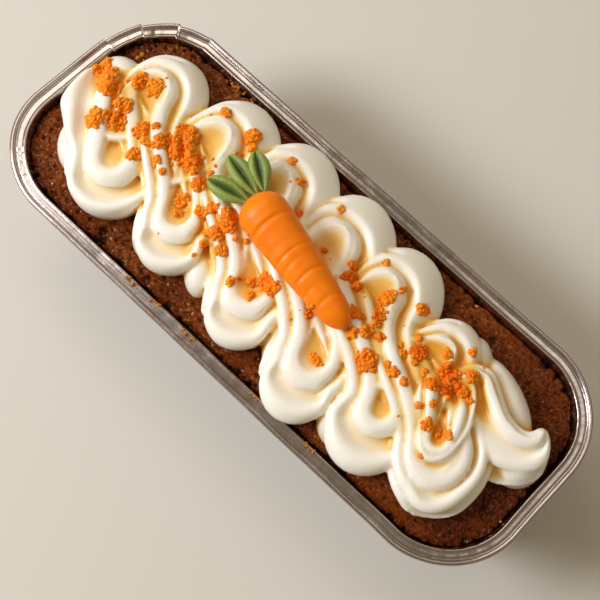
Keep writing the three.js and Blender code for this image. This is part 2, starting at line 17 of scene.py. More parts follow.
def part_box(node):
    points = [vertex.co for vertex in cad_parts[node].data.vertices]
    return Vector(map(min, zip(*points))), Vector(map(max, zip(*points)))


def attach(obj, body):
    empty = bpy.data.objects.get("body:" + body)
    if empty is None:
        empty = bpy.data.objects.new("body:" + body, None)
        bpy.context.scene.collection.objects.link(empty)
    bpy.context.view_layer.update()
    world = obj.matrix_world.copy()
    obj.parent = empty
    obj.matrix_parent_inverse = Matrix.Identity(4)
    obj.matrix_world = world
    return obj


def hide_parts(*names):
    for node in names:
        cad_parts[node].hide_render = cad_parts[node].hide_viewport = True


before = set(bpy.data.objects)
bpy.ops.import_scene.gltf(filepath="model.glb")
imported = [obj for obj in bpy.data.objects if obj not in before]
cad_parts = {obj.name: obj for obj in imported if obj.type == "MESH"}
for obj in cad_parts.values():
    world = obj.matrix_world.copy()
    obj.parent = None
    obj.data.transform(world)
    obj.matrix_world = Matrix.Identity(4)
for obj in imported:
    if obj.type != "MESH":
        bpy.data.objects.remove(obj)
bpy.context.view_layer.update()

MM = 0.001
TIN_LOW, TIN_HIGH = (np.array(corner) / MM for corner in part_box("foil_tin"))
RIM_LENGTH = 202.4
RIM_WIDTH = TIN_HIGH[1] - TIN_LOW[1]
TIN_HEIGHT = 45.0
# The bent left end makes the rim longer there, so the middle of its length is not x = 0.
MIDDLE_X = TIN_HIGH[0] - RIM_LENGTH / 2


# ---------------------------------------------------------------- small tools


def to_frame(points):
    """Millimetres round the middle of the rim to metres in the CAD frame."""
    return (np.asarray(points, float) + (MIDDLE_X, 0, TIN_HEIGHT)) * MM


def smooth(low, high, value):
    """Goes smoothly from 0 at low to 1 at high."""
    t = np.clip((value - low) / (high - low), 0, 1)
    return t * t * (3 - 2 * t)


def hashed(cells, seed):
    """A fixed number from 0 to 1 for each row of whole numbers: large odd factors and a
    shift mix their bits, and the upper bits give the number."""
    x, y, z = (cells[..., axis].astype(np.uint64) for axis in range(3))
    mixed = x * np.uint64(73856093) ^ y * np.uint64(19349663) ^ z * np.uint64(83492791)
    mixed = (mixed + np.uint64(seed * 7919 + 17)) * np.uint64(6364136223846793005)
    mixed ^= mixed >> np.uint64(29)
    mixed = mixed * np.uint64(2685821657736338717)
    return ((mixed >> np.uint64(33)) & np.uint64(0xFFFFFF)).astype(float) / 0xFFFFFF


def swell_noise(points, size, seed):
    """Smooth noise from -1 to 1: random values on a lattice of that size, blended."""
    scaled = points / size + 512
    cells = np.floor(scaled)
    part = scaled - cells
    part = part * part * (3 - 2 * part)
    total = np.zeros(len(points))
    for corner in np.ndindex(2, 2, 2):
        corner = np.array(corner)
        weight = np.prod(np.where(corner, part, 1 - part), axis=1)
        total += weight * hashed(cells + corner, seed)
    return 2 * total - 1


def layered_noise(points, size, seed, layers=3):
    """Smooth noise with finer and weaker layers added, each half as large."""
    total = np.zeros(len(points))
    for layer in range(layers):
        total += swell_noise(points, size / 2**layer, seed + layer) / 2**layer
    return total / (2 - 2.0 ** (1 - layers))


def nearest_cell(points, size, seed):
    """Distance to the nearest of one random point per lattice cell, in cell sizes."""
    scaled = points / size + 512
    cells = np.floor(scaled)
    nearest = np.full(len(points), 9.0)
    for shift in np.ndindex(3, 3, 3):
        cell = cells + np.array(shift) - 1
        seedpoint = cell + np.stack([hashed(cell, seed + k) for k in range(3)], axis=1)
        distance = np.linalg.norm(seedpoint - scaled, axis=1)
        nearest = np.minimum(nearest, distance)
    return nearest


def mesh_piece(name, points, faces):
    """A mesh object from points in metres and faces of three or four corners."""
    mesh = bpy.data.meshes.new(name)
    mesh.from_pydata(np.asarray(points).tolist(), [], faces)
    mesh.polygons.foreach_set("use_smooth", np.full(len(mesh.polygons), True))
    mesh.update()
    piece = bpy.data.objects.new(name, mesh)
    bpy.context.scene.collection.objects.link(piece)
    return piece


def tube_faces(rings, around):
    """Quads that join rings of points, each closed round."""
    ring, i = np.meshgrid(np.arange(rings - 1), np.arange(around), indexing="ij")
    here = ring * around + i
    beside = ring * around + (i + 1) % around
    return np.stack([here, beside, beside + around, here + around], axis=-1).reshape(-1, 4)


def closed_skin(name, grid, start_pole, end_pole):
    """A closed mesh from a grid of rings (ring, around, xyz), with a pole at each end.
    Its faces point outwards, judged by the sign of its volume."""
    rings, around, _ = grid.shape
    points = np.vstack([grid.reshape(-1, 3), start_pole, end_pole])
    quads = tube_faces(rings, around)
    i = np.arange(around)
    beside = (i + 1) % around
    last = (rings - 1) * around
    start_fan = np.stack([np.full(around, rings * around), beside, i], axis=1)
    end_fan = np.stack([np.full(around, rings * around + 1), last + i, last + beside], axis=1)
    corners = points[quads]
    flow = np.cross(corners[:, 2] - corners[:, 0], corners[:, 3] - corners[:, 1])
    if np.sum(flow * corners.mean(axis=1)) < 0:
        quads, start_fan, end_fan = quads[:, ::-1], start_fan[:, ::-1], end_fan[:, ::-1]
    return mesh_piece(name, points, quads.tolist() + start_fan.tolist() + end_fan.tolist())


def applied(piece):
    """The same piece with its modifiers worked into a fresh mesh."""
    graph = bpy.context.evaluated_depsgraph_get()
    mesh = bpy.data.meshes.new_from_object(piece.evaluated_get(graph))
    piece.modifiers.clear()
    old = piece.data
    piece.data = mesh
    bpy.data.meshes.remove(old)
    return piece


def vertex_array(piece):
    """The piece's points as an array, in metres."""
    points = np.empty(len(piece.data.vertices) * 3)
    piece.data.vertices.foreach_get("co", points)
    return points.reshape(-1, 3)


def with_numbers(piece, name, values):
    """Stores one number for each point of a piece, for its material to read."""
    piece.data.attributes.new(name, "FLOAT", "POINT").data.foreach_set("value", values)


# ---------------------------------------------------------------- view

VIEW_TILT = math.radians(14.0)  # from straight down
VIEW_TURN = math.radians(43.43)  # from the loaf's length to the picture's lower edge
VIEW_DISTANCE = 396.9
VIEW_SHIFT = (1.404, -6.961)  # from the middle of the rim to the middle of the picture
PICTURE_SIDE = 600  # pixels
FOCAL_LENGTH = 1300  # pixels
SENSOR = 36.0


def turned(point):
    """A point of the picture's ground plane, turned into the object's directions."""
    c, s = math.cos(VIEW_TURN), math.sin(VIEW_TURN)
    return np.array([c * point[0] - s * point[1], s * point[0] + c * point[1]])


def eye_point():
    """Where the camera stands, in mm round the middle of the rim."""
    back = turned((VIEW_SHIFT[0], VIEW_SHIFT[1] - VIEW_DISTANCE * math.sin(VIEW_TILT)))
    return np.array([*back, VIEW_DISTANCE * math.cos(VIEW_TILT)])


# ---------------------------------------------------------------- tin

END_BOW = 0.8
END_SLANT = 2.2
CORNER_RADIUS = 27.0
FLANGE = 5.0
WALL_SLOPE = math.tan(math.radians(12))
FOIL = 0.3
FOOT_RADIUS = 3.0
BEAD_RADIUS = 0.85
# Numbers of points along a corner, a long side and a short side of the rim.
TIN_SAMPLES = (100, 160, 50)
CAKE_SAMPLES = (110, 270, 65)
# Past this inset the rings no longer run beside the rim but close in on the middle line.
DEEP_INSET = 19.0


def rim_line(corner_count, long_count, short_count):
    """Points along the rim's outline, a rounded rectangle, and the way straight out of it
    at each."""
    half_length = RIM_LENGTH / 2 - END_BOW - CORNER_RADIUS
    half_width = RIM_WIDTH / 2 - CORNER_RADIUS
    corners = np.array([(1, 1), (-1, 1), (-1, -1), (1, -1)]) * (half_length, half_width)
    points, outward = [], []
    for quarter, middle in enumerate(corners):
        turn = (quarter + np.arange(corner_count) / corner_count) * math.pi / 2
        way = np.stack([np.cos(turn), np.sin(turn)], axis=1)
        points.append(middle + CORNER_RADIUS * way)
        outward.append(way)
        count = short_count if quarter % 2 else long_count
        part = np.arange(count)[:, None] / count
        turn = (quarter + 1) * math.pi / 2
        way = np.array([[math.cos(turn), math.sin(turn)]])
        next_middle = corners[(quarter + 1) % 4]
        points.append(middle + (next_middle - middle) * part + CORNER_RADIUS * way)
        outward.append(np.repeat(way, count, 0))
    return np.vstack(points), np.vstack(outward)


def from_rim(inset, height, line):
    """Grid of points (ring, around) that far inside the rim's outline and at that height.
    The two ends bow out, and the left one is bent out of square."""
    point = line[0] - np.minimum(inset, DEEP_INSET)[..., None] * line[1]
    spine = np.clip(point[..., 0], -RIM_LENGTH / 3, RIM_LENGTH / 3)
    closing = np.clip((inset - DEEP_INSET) / (RIM_WIDTH / 2 - DEEP_INSET), 0, 1)
    x = point[..., 0] + (spine - point[..., 0]) * closing
    y = point[..., 1] * (1 - closing)
    across = y / (RIM_WIDTH / 2)
    endward = (np.abs(x) / (RIM_LENGTH / 2)) ** 4
    bow = np.sign(x) * END_BOW * (1 - across**2) * endward
    slant = np.where(x < 0, END_SLANT * np.sin(across * math.pi / 2) * endward, 0)
    return np.stack([x + bow + slant, y, height + np.zeros_like(x)], axis=-1)


def wall_inset(height):
    """How far inside the rim's outline the wall is at a height."""
    return FLANGE - height * WALL_SLOPE


def tin_profile():
    """Inset and height of the tin's rings, from the middle of its inside over the wall, the
    fold, the flange and the rolled bead to the middle of its underside."""
    low = FOIL - TIN_HEIGHT
    foot_top = low + FOOT_RADIUS
    bend = np.radians([90, 68, 45, 22])
    inner_foot = wall_inset(foot_top) + FOOT_RADIUS * (1 - np.cos(bend))
    wall = np.concatenate([np.linspace(foot_top, -8, 9), np.linspace(-7, -0.7, 12)])
    fold = [(5.05, -0.32), (4.97, 0.05), (4.82, 0.24), (4.6, 0.32), (4.35, 0.24), (4.08, 0.06)]
    flange = [(3.7, 0.0), (3.1, 0.0), (2.6, 0.0), (2.3, -0.06), (2.1, -0.24), (1.92, -0.3)]
    round_bead = np.radians(np.arange(10, 331, 20))
    bead = np.stack([
        BEAD_RADIUS * (1.05 + np.cos(round_bead)), BEAD_RADIUS * np.sin(round_bead) - 0.15,
    ], axis=1)
    outer = wall[::-1] - FOIL
    inside = [(36, low), (27, low), (20, low)]
    inside += list(zip(inner_foot, foot_top - FOOT_RADIUS * np.sin(bend)))
    inside += list(zip(wall_inset(wall), wall))
    under = [(2.4, -FOIL), (3.6, -FOIL), (4.6, -FOIL - 0.1)]
    under += list(zip(wall_inset(outer) - FOIL, outer))
    under += list(zip(inner_foot[::-1], low - FOIL + FOOT_RADIUS * (1 - np.sin(bend[::-1]))))
    under += [(20, -TIN_HEIGHT), (27, -TIN_HEIGHT), (36, -TIN_HEIGHT)]
    return np.array(inside + fold + flange + bead.tolist() + under, float)


# The left far corner of the rim was crimped in steps: their number and depth.
CRIMPS = 3.2
CRIMP_DEPTH = 1.1
CRIMPED_FROM = (92, 96)  # degrees round the rim over which the crimps begin
CRIMPED_TO = (179, 174)
# How far creases and dents push the foil in or up, in mm.
WALL_CREASE = 0.35
WALL_DENT = 0.26
RIM_DENT = 0.25
RIM_WAVE = 0.3
FLANGE_CREASE = 0.10
FLANGE_DENT = 0.14


def foil_tin():
    """The tin's skin: its profile carried round the rim. Creases run straight down the
    rounded corners, the long walls and the flange are dented by smooth noise, and one
    corner of the rim is crimped."""
    profile = tin_profile()
    inset, height = profile[:, :1], profile[:, 1:]
    rim, outward = rim_line(*TIN_SAMPLES)
    place = np.column_stack([rim, np.zeros(len(rim))])
    corner = smooth(0.0, 0.12, 1 - np.max(np.abs(outward), axis=1))
    creases = 1 - 2 * np.abs(swell_noise(place, 2.6, 3)) + 0.6 * swell_noise(place, 1.5, 4)
    on_wall = smooth(-0.6, -2.5, height) * smooth(-43, -38, height)
    on_flange = smooth(-1.2, -0.4, height) * smooth(5.4, 4.4, inset) * smooth(1.6, 2.2, inset)
    on_rim = smooth(-2.5, -0.6, height) * smooth(6.2, 5.0, inset)
    spread = place[None] + height[:, :, None] * (0, 0, 1)
    wall_dents = layered_noise(spread.reshape(-1, 3), 17, 21).reshape(len(profile), -1)
    moved_in = on_wall * (WALL_CREASE * corner * creases + WALL_DENT * wall_dents)
    moved_in += on_rim * RIM_DENT * layered_noise(place, 26, 7)
    turn = np.degrees(np.arctan2(outward[:, 1], outward[:, 0]))
    step = np.clip((turn - 90) / 90, 0, 1) * CRIMPS
    part = step - np.floor(step)
    crimped = smooth(*CRIMPED_FROM, turn) * smooth(*CRIMPED_TO, turn)
    moved_in += on_rim * crimped * CRIMP_DEPTH * (part * (1 - part) * 2 + 0.8 * part**3)
    flange_dents = layered_noise(place, 11, 11, 2)
    raised = on_flange * (FLANGE_CREASE * corner * creases + FLANGE_DENT * flange_dents)
    raised += on_rim * RIM_WAVE * layered_noise(place, 34, 15)
    raised += on_flange * crimped * 0.5 * part**4
    grid = from_rim(inset + moved_in, height + raised, (rim, outward))
    return closed_skin("tin", to_frame(grid), to_frame((0, 0, FOIL - TIN_HEIGHT)),
                       to_frame((0, 0, -TIN_HEIGHT)))


TIN = foil_tin()
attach(TIN, "root")
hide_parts("foil_tin")

# ---------------------------------------------------------------- cake

CAKE_DROP = 2.8  # from the rim to the edge of the cake's top
CAKE_DOME = 0.3
CAKE_GAP = 0.3  # between cake and foil
CRUMB_BAND = 21.0  # width of the border whose crumb shows, in fine rings
FINE_RING = 0.36
COARSE_RINGS = [23, 26, 29, 32]  # how far inside its edge the plain middle has rings
# Sizes in mm of the crumb's pits, holes, lumps and small lumps, and how deep or high each is.
PIT, HOLE, LUMP, SMALL_LUMP = 4.2, 2.1, 1.6, 0.95
PIT_DEPTH, HOLE_DEPTH, LUMP_HEIGHT, SMALL_HEIGHT = 1.0, 0.6, 0.35, 0.4
CRUMB_SINK = 0.6
CRUMB_SWELL = 0.3
END_DARKNESS = 0.5  # how much lower the crumb's height is taken towards the right end, which paints it darker there


def lumps(points, size, seed):
    """Rounded crumbs: 1 at the middle of each random cell, falling to 0 at its edge."""
    return np.clip(1 - (nearest_cell(points, size, seed) / 0.75) ** 2, 0, 1)


def crumb_relief(points):
    """Height of the open crumb: lumps of two sizes on a slow swell, with some of the
    largest cells torn open as pits."""
    pits = smooth(0.5, 0.15, nearest_cell(points, PIT, 31))
    torn = smooth(0.1, 0.5, swell_noise(points, 9, 36))
    holes = smooth(0.42, 0.16, nearest_cell(points, HOLE, 37))
    height = LUMP_HEIGHT * lumps(points, LUMP, 41) + SMALL_HEIGHT * lumps(points, SMALL_LUMP, 51)
    height -= CRUMB_SINK + PIT_DEPTH * pits * torn + HOLE_DEPTH * holes
    # Towards the right end the crumb is half as rough.
    smoother = 1 - 0.5 * smooth(30, 75, points[:, 0])
    return CRUMB_SWELL * layered_noise(points, 8, 33) + height * smoother


def cake():
    """The loaf: fine rings over the border of its top, then coarse ones that close in,
    and a plain side and base inside the tin."""
    line = rim_line(*CAKE_SAMPLES)
    inward = np.concatenate([np.arange(0, CRUMB_BAND, FINE_RING), COARSE_RINGS])[:, None]
    edge = wall_inset(-CAKE_DROP) + CAKE_GAP
    part = 1 - inward / (RIM_WIDTH / 2 - edge)
    top = CAKE_DOME * (1 - part**4) - CAKE_DROP
    flat = from_rim(edge + inward, top, line)
    count = flat.shape[1]
    spots = flat * (1, 1, 0)
    relief = crumb_relief(spots.reshape(-1, 3)).reshape(flat.shape[:2])
    # Bubbles against the foil leave a scalloped border, lower than the crumb round it, which the
    # sponge's colour paints darker as shade.
    scallop = smooth(0.45, 0.1, nearest_cell(spots[0], 2.6, 61))
    border = np.exp(-((inward / 1.0) ** 2))
    relief -= border * (0.1 + 1.6 * scallop)
    away = np.minimum(inward, 2.0) / 2.0
    shift = 0.5 * (1 - away) * lumps(spots[0], 3.1, 71)
    grid_top = from_rim(edge + inward + shift, top + relief, line)
    low = FOIL - TIN_HEIGHT + CAKE_GAP
    sides = np.array([
        (36, low), (24, low), (wall_inset(low + 3) + 3, low), (wall_inset(low + 3) + 1, low + 1),
        (wall_inset(low + 3) + CAKE_GAP, low + 3), (wall_inset(-25) + CAKE_GAP, -25),
        (wall_inset(-12) + CAKE_GAP, -12), (wall_inset(-8) + CAKE_GAP, -8),
    ], float)
    grid_side = from_rim(sides[:, :1] + np.zeros((1, count)), sides[:, 1:], line)
    grid = np.vstack([grid_side, grid_top])
    piece = closed_skin("cake_loaf", to_frame(grid), to_frame((0, 0, low)),
                        to_frame((0, 0, CAKE_DOME - CAKE_DROP)))
    # The crumb's height, which sets its painted shade, is lowered towards the right end so that it is
    # painted darker there.
    darker = relief - END_DARKNESS * smooth(50, 95, spots[..., 0])
    height = np.vstack([np.zeros((len(sides), count)), darker])
    with_numbers(piece, "crumb_height", np.append(height.ravel(), [0, 0]))
    return piece


CAKE = cake()
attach(CAKE, "root")
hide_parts("cake")

# ---------------------------------------------------------------- icing

ROPE_HALF_WIDTH = 9.0
ROPE_HALF_HEIGHT = 6.5
RIDGE_SPACING = 41.0  # degrees of the section from one ridge to the next
GROOVE_DEPTH = 2.4
GROOVES_ROUND_BEND = (1.0, 0.65, 0.9, 1.6, 1.0)  # how deep, from before a bend to after it
GROOVE_PUSH = 10.0  # degrees outwards that a groove moves where it is twice as deep
RIDGE_WIDENING = 0.7  # how much wider the ridges are where the near side of the rope splays
OUTER_ROLL = 2.3  # how far the outer ridge of such a stretch bulges upwards
TERRACE = 0.45  # how much flatter each ridge of a splayed section is than its arch
GROOVE_SHARE = 0.5  # part of each ridge's width that its groove takes
GROOVE_SHARE_GAIN = 0.4  # how much more it takes in a wide section
NOTCH_SHARE = 0.65  # part of a groove's depth that its notch takes
# Strength, length and seed of the noise along the rope that makes its grooves sway (degrees),
# its section swell and its grooves deeper (as parts).
ROPE_NOISE = [(5.0, 22, 3), (0.05, 13, 5), (0.3, 17, 8)]
CAKE_AT_ICING = -3.6  # height of the cake's top where the icing lies
ROPE_SINK = 1.0
ROPE_FOOT = 0.82  # half width of the rope's foot in the cake, as part of its reach
FOOT_DEPTH = 1.5
ROPE_END = 4.0  # length over which the rope tapers off at its two ends
ENDS_LEFT = (0.08, 0.3)  # parts of its width and of its height that are left there
ROPE_SAMPLES = 118  # points of its section
SECTION_EDGE = 98.0  # degrees from the section's top to its last point
LIFTS = (3.4, 1.6)  # how far the rope rises on its way to a near and to a far turn
SPLAYED_HALF_WIDTH = 14.2  # half width of a section whose ridges are spread evenly
# Half widths from which, and by which, a change sets in: the near side's ridges widen, the
# outer band at a far bend turns plain, ridges flatten, and grooves take more of the width.
BROAD = (9.5, 12.5)
PLAIN = (10.5, 12.5)
FLAT = (9.5, 13.0)
WIDE = (10.0, 14.0)
PLAIN_BAND = (33, 43)  # degrees from the section's top past which its outer band lies
NARROW = (11.0, 8.0)  # half widths below which grooves are deeper, by the part that follows
NARROW_DEPTH = 0.35
VOXEL = 0.55
ICING_KEPT = 0.62  # part of the triangles left where the surface is nearly flat

# Turns of the rope: middle of the hollow in the bend, radius of the bend, its lean in
# degrees, how far it is raised, the radius of the hollow, and how far the rope reaches
# outwards from its middle line before, at and after the top of the bend.
TURNS = [
    (-66.0, -12.5, 5.5, 24, 0.0, 3.0, 9.5, 17.5, 13.5),
    (-73.0, 12.0, 5.5, 5, 0.0, 3.6, 5.5, 13.0, 13.0),
    (-38.5, -11.5, 5.5, 22, 0.0, 3.6, 7.5, 19.5, 8.5),
    (-47.5, 13.0, 6.5, -8, 0.0, 4.4, 5.0, 17.5, 15.5),
    (-6.5, -13.0, 6.0, 16, 0.0, 4.0, 7.5, 18.0, 9.0),
    (-23.5, 15.5, 6.0, 5, 0.0, 4.0, 5.0, 15.5, 15.0),
    (22.0, -15.5, 6.0, 14, 0.0, 3.8, 8.5, 20.0, 8.0),
    (2.0, 13.8, 6.5, 5, 0.0, 4.2, 6.0, 17.0, 13.5),
    (47.0, -13.5, 4.5, 13, 0.0, 2.5, 10.0, 23.0, 10.0),
    (22.5, 13.0, 6.0, 0, 0.0, 3.8, 5.0, 15.5, 14.0),
    (67.5, -11.0, 8.0, 26, 0.0, 3.0, 6.5, 12.5, 9.5),
    (47.5, 9.8, 5.0, -25, 0.0, 3.2, 5.0, 19.0, 18.0),
    (65.0, -8.5, 3.8, 18, 1.6, 1.8, 4.5, 5.2, 4.5),
    (62.5, 10.0, 4.0, 60, 0.6, 1.8, 5.0, 5.5, 5.0),
]
# The last stretch of the rope: points of its middle line, and how far it reaches to the
# left and to the right of each.
CLOSING = [
    (59.5, 9.0, 3.5, 4.0), (59.0, 14.0, 3.5, 4.0), (63.0, 16.0, 3.5, 6.0),
    (69.0, 12.6, 3.2, 12.0), (75.0, 9.4, 3.0, 14.5), (80.5, 8.6, 3.0, 14.8),
    (84.3, 10.0, 2.6, 13.0), (85.6, 11.9, 2.5, 11.0), (86.3, 14.0, 2.4, 2.6),
    (85.0, 16.8, 2.2, 2.4),
]
CLOSING_SPACING = 54.0
CLOSING_RAISED = 0.8
ROPE_START = (-86.0, 10.0)
# The first stretch spreads out until it meets the wall of the tin.
START_REACH = [(0.0, 15.0), (9.0, 18.0), (18.0, 14.5)]
WALL_AT_START = -94.8
WALL_PRESS = 5.0  # how far from the wall its pressure is felt
BEND_POINTS = 19
JOIN_POINTS = 40
PATH_STEP = 0.6
PATH_SOFTNESS = 1.3
REACH_SOFTNESS = 2.5
FIRST_WAY = np.array([0.3, -0.95])  # direction in which the rope starts
ROPE_LOW = CAKE_AT_ICING + ROPE_HALF_HEIGHT - ROPE_SINK
HOLD = 2.0  # length past a bend over which its hollow holds the rope fully
OPENING = 0.36  # how fast that hold fades farther away
FREE = 60.0  # a reach so long that it limits nothing


def turn_bend(index):
    """Points on a turn's half circle, which opens to the far side on even turns and to the
    near side on odd ones."""
    x, y, radius, lean = TURNS[index][:4]
    lean = math.radians(lean)
    side = 1 if index % 2 == 0 else -1
    outward = side * np.array([math.sin(lean), -math.cos(lean)])
    onward = np.array([math.cos(lean), math.sin(lean)])
    angle = np.linspace(-math.pi / 2, math.pi / 2, BEND_POINTS)[:, None]
    return np.array([x, y]) + radius * (onward * np.sin(angle) + outward * np.cos(angle))


def joining_curve(start, start_way, end, end_way):
    """Cubic between two points that leaves and arrives along the two directions."""
    t = np.linspace(0, 1, JOIN_POINTS + 2)[1:-1, None]
    pull = np.linalg.norm(end - start)
    return (
        (2 * t**3 - 3 * t**2 + 1) * start
        + (t**3 - 2 * t**2 + t) * pull * start_way
        + (3 * t**2 - 2 * t**3) * end
        + (t**3 - t**2) * pull * end_way
    )


def bell_curve(width, step=1.0):
    """Weights of a bell curve at even steps, which add up to 1, and how many are on each
    side of its middle."""
    reach = int(3 * width / step)
    bell = np.exp(-0.5 * (np.arange(-reach, reach + 1) * step / width) ** 2)
    return bell / bell.sum(), reach


def softened(values, width):
    """Rows of values smoothed along the path by a bell curve of that width in mm."""
    bell, reach = bell_curve(width, PATH_STEP)
    padded = np.pad(values, ((reach, reach), (0, 0)), mode="edge")
    return np.column_stack([np.convolve(row, bell, "valid") for row in padded.T])


def rope_line():
    """Middle line of the rope: a half circle round each hollow and a cubic from each to the
    next, raised in between by a squared sine. Returns its points, how far along it each of
    them is, and the first and last point of every half circle."""
    flat = [np.array([ROPE_START])]
    height = [np.zeros(1)]
    bends = []
    along = np.linspace(0, 1, JOIN_POINTS + 2)[1:-1]
    raised_before = 0
    for index, turn in enumerate(TURNS):
        bend, raised = turn_bend(index), turn[4]
        start = flat[-1][-1]
        start_way = start - flat[-1][-2] if index else FIRST_WAY
        start_way = start_way / np.linalg.norm(start_way)
        end_way = (bend[1] - bend[0]) / np.linalg.norm(bend[1] - bend[0])
        flat += [joining_curve(start, start_way, bend[0], end_way), bend]
        rise = raised_before + (raised - raised_before) * along
        height.append(rise + LIFTS[index % 2] * np.sin(math.pi * along) ** 2)
        height.append(np.full(len(bend), raised))
        bends.append((bend[0], bend[-1]))
        raised_before = raised
    points = np.column_stack([np.vstack(flat), np.concatenate(height)])
    steps = np.linalg.norm(np.diff(points[:, :2], axis=0), axis=1)
    return points, np.concatenate([[0], np.cumsum(steps)]), bends


def rope_path():
    """The rope's middle line in even steps. Returns its points, and for its left and right
    side the reach past which the section is squeezed by a hollow, its half width, and how
    deep its grooves are: shallow before a bend and deep after it."""
    points, travelled, bends = rope_line()
    even = np.arange(0, travelled[-1], PATH_STEP)
    path = np.column_stack([np.interp(even, travelled, points[:, k]) for k in range(3)])
    path = softened(path, PATH_SOFTNESS)

    reach = np.full((len(path), 2), FREE)
    # Marks of half width and of groove depth along the left and the right side.
    widths = [[(0.0, ROPE_HALF_WIDTH)], list(START_REACH)]
    depths = [[(0.0, 1.0)], [(0.0, 1.0)]]
    for index, (turn, bend) in enumerate(zip(TURNS, bends)):
        radius, hollow = turn[2], turn[5]
        first, last = (
            travelled[np.argmin(np.linalg.norm(points[:, :2] - end, axis=1))] for end in bend
        )
        away = np.maximum(np.maximum(first - even, even - last), 0)
        limit = radius - hollow + OPENING * np.maximum(away - HOLD, 0)
        inner = index % 2
        reach[:, inner] = np.minimum(reach[:, inner], limit)
        places = first + (last - first) * np.array([0.2, 0.5, 0.8])
        widths[1 - inner] += list(zip(places, turn[6:9]))
        widths[inner].append(((first + last) / 2, ROPE_HALF_WIDTH))
        places = (first - 8, first, (first + last) / 2, last + 3, last + 14)
        depths[1 - inner] += list(zip(places, GROOVES_ROUND_BEND))
    width, depth = (
        softened(np.column_stack([np.interp(even, *zip(*side)) for side in marks]), REACH_SOFTNESS)
        for marks in (widths, depths)
    )
    return path, reach, width, depth


def closing_path():
    """The last stretch of the rope, as rope_path() gives the others."""
    marks = np.array(CLOSING)
    steps = np.linalg.norm(np.diff(marks[:, :2], axis=0), axis=1)
    travelled = np.concatenate([[0], np.cumsum(steps)])
    even = np.arange(0, travelled[-1], PATH_STEP)
    line = np.column_stack([np.interp(even, travelled, column) for column in marks.T])
    line = softened(line, PATH_SOFTNESS)
    path = np.column_stack([line[:, :2], np.full(len(line), CLOSING_RAISED)])
    return path, np.full((len(line), 2), FREE), line[:, 2:], np.ones((len(line), 2))


def squeezed(across, reach):
    """Sideways distance, kept as it is while small and held below reach when large."""
    reach = np.maximum(reach, 0.4)
    return across * (1 + (np.abs(across) / reach) ** 4) ** -0.25


def ridged_section(width, deepened, spacing, widening):
    """Sideways distance and height of the star nozzle's section at each step of the rope:
    an ellipse, or where the rope is wider an arch whose ridges are spread evenly. Between
    ridges, grooves are cut in along its normal. Each is a shallow parabola with a narrow
    notch in its middle. Slow noise along the rope lets them sway and the section swell."""
    count = len(width)
    marks = np.column_stack([np.arange(count) * PATH_STEP, np.zeros(count), np.zeros(count)])
    sway, swell, deeper = (
        strength * layered_noise(marks, size, seed)[:, None] for strength, size, seed in ROPE_NOISE
    )
    swell = 1 + swell
    depth = GROOVE_DEPTH * (1 + deeper)

    tilt = np.radians(np.linspace(SECTION_EDGE, -SECTION_EDGE, ROPE_SAMPLES))[None, :]
    half = np.where(tilt > 0, width[:, :1], width[:, 1:])
    narrow = np.minimum(half, ROPE_HALF_WIDTH)
    splay = np.maximum(half - ROPE_HALF_WIDTH, 0) / (SPLAYED_HALF_WIDTH - ROPE_HALF_WIDTH)
    even_spread = SPLAYED_HALF_WIDTH * tilt / (math.pi / 2)
    across = narrow * np.sin(tilt) + splay * (even_spread - ROPE_HALF_WIDTH * np.sin(tilt))
    deepened = np.where(tilt > 0, deepened[:, :1], deepened[:, 1:])
    pushed = GROOVE_PUSH * np.maximum(deepened - 1, 0) * np.sign(tilt)
    pushed = pushed * smooth(0, 25, np.abs(np.degrees(tilt)))
    broad_near = smooth(*BROAD, half) * (tilt < 0)
    spacing = spacing * (1 + widening * broad_near)
    from_ridge = (np.degrees(tilt) - sway * (tilt > 0) - pushed) / spacing
    beside_ridge = from_ridge - np.round(from_ridge)
    # At the bends on the far side the outer band is broad and has no groove or step.
    plain = smooth(*PLAIN, half) * smooth(*PLAIN_BAND, np.degrees(tilt) - sway)
    terrace = TERRACE * smooth(*FLAT, half) * (1 - plain)
    flatter = np.radians(spacing) * beside_ridge * (1 - np.abs(2 * beside_ridge) ** 8)
    flatter = tilt - terrace * flatter
    up = ROPE_HALF_HEIGHT * np.cos(flatter)
    outer = broad_near * (from_ridge < -0.5) * (widening > 0)
    up = up + OUTER_ROLL * outer * (1 - (2 * beside_ridge) ** 2)
    across, up = across * swell, up * swell
    slope_across = np.gradient(across, axis=1)
    slope_up = np.gradient(up, axis=1)
    length = np.hypot(slope_across, slope_up)
    groove = np.abs(2 * beside_ridge)
    share = GROOVE_SHARE + GROOVE_SHARE_GAIN * smooth(*WIDE, half)
    notch = np.clip(1 - (1 - groove) / share, 0, 1) ** 1.5
    depth = depth * deepened * (1 + NARROW_DEPTH * smooth(*NARROW, half))
    depth = depth * (1 + 0.5 * widening * broad_near)
    cut = depth * ((1 - NOTCH_SHARE) * groove**2 + NOTCH_SHARE * notch) * (1 - plain)
    return across - cut * slope_up / length, up + cut * slope_across / length


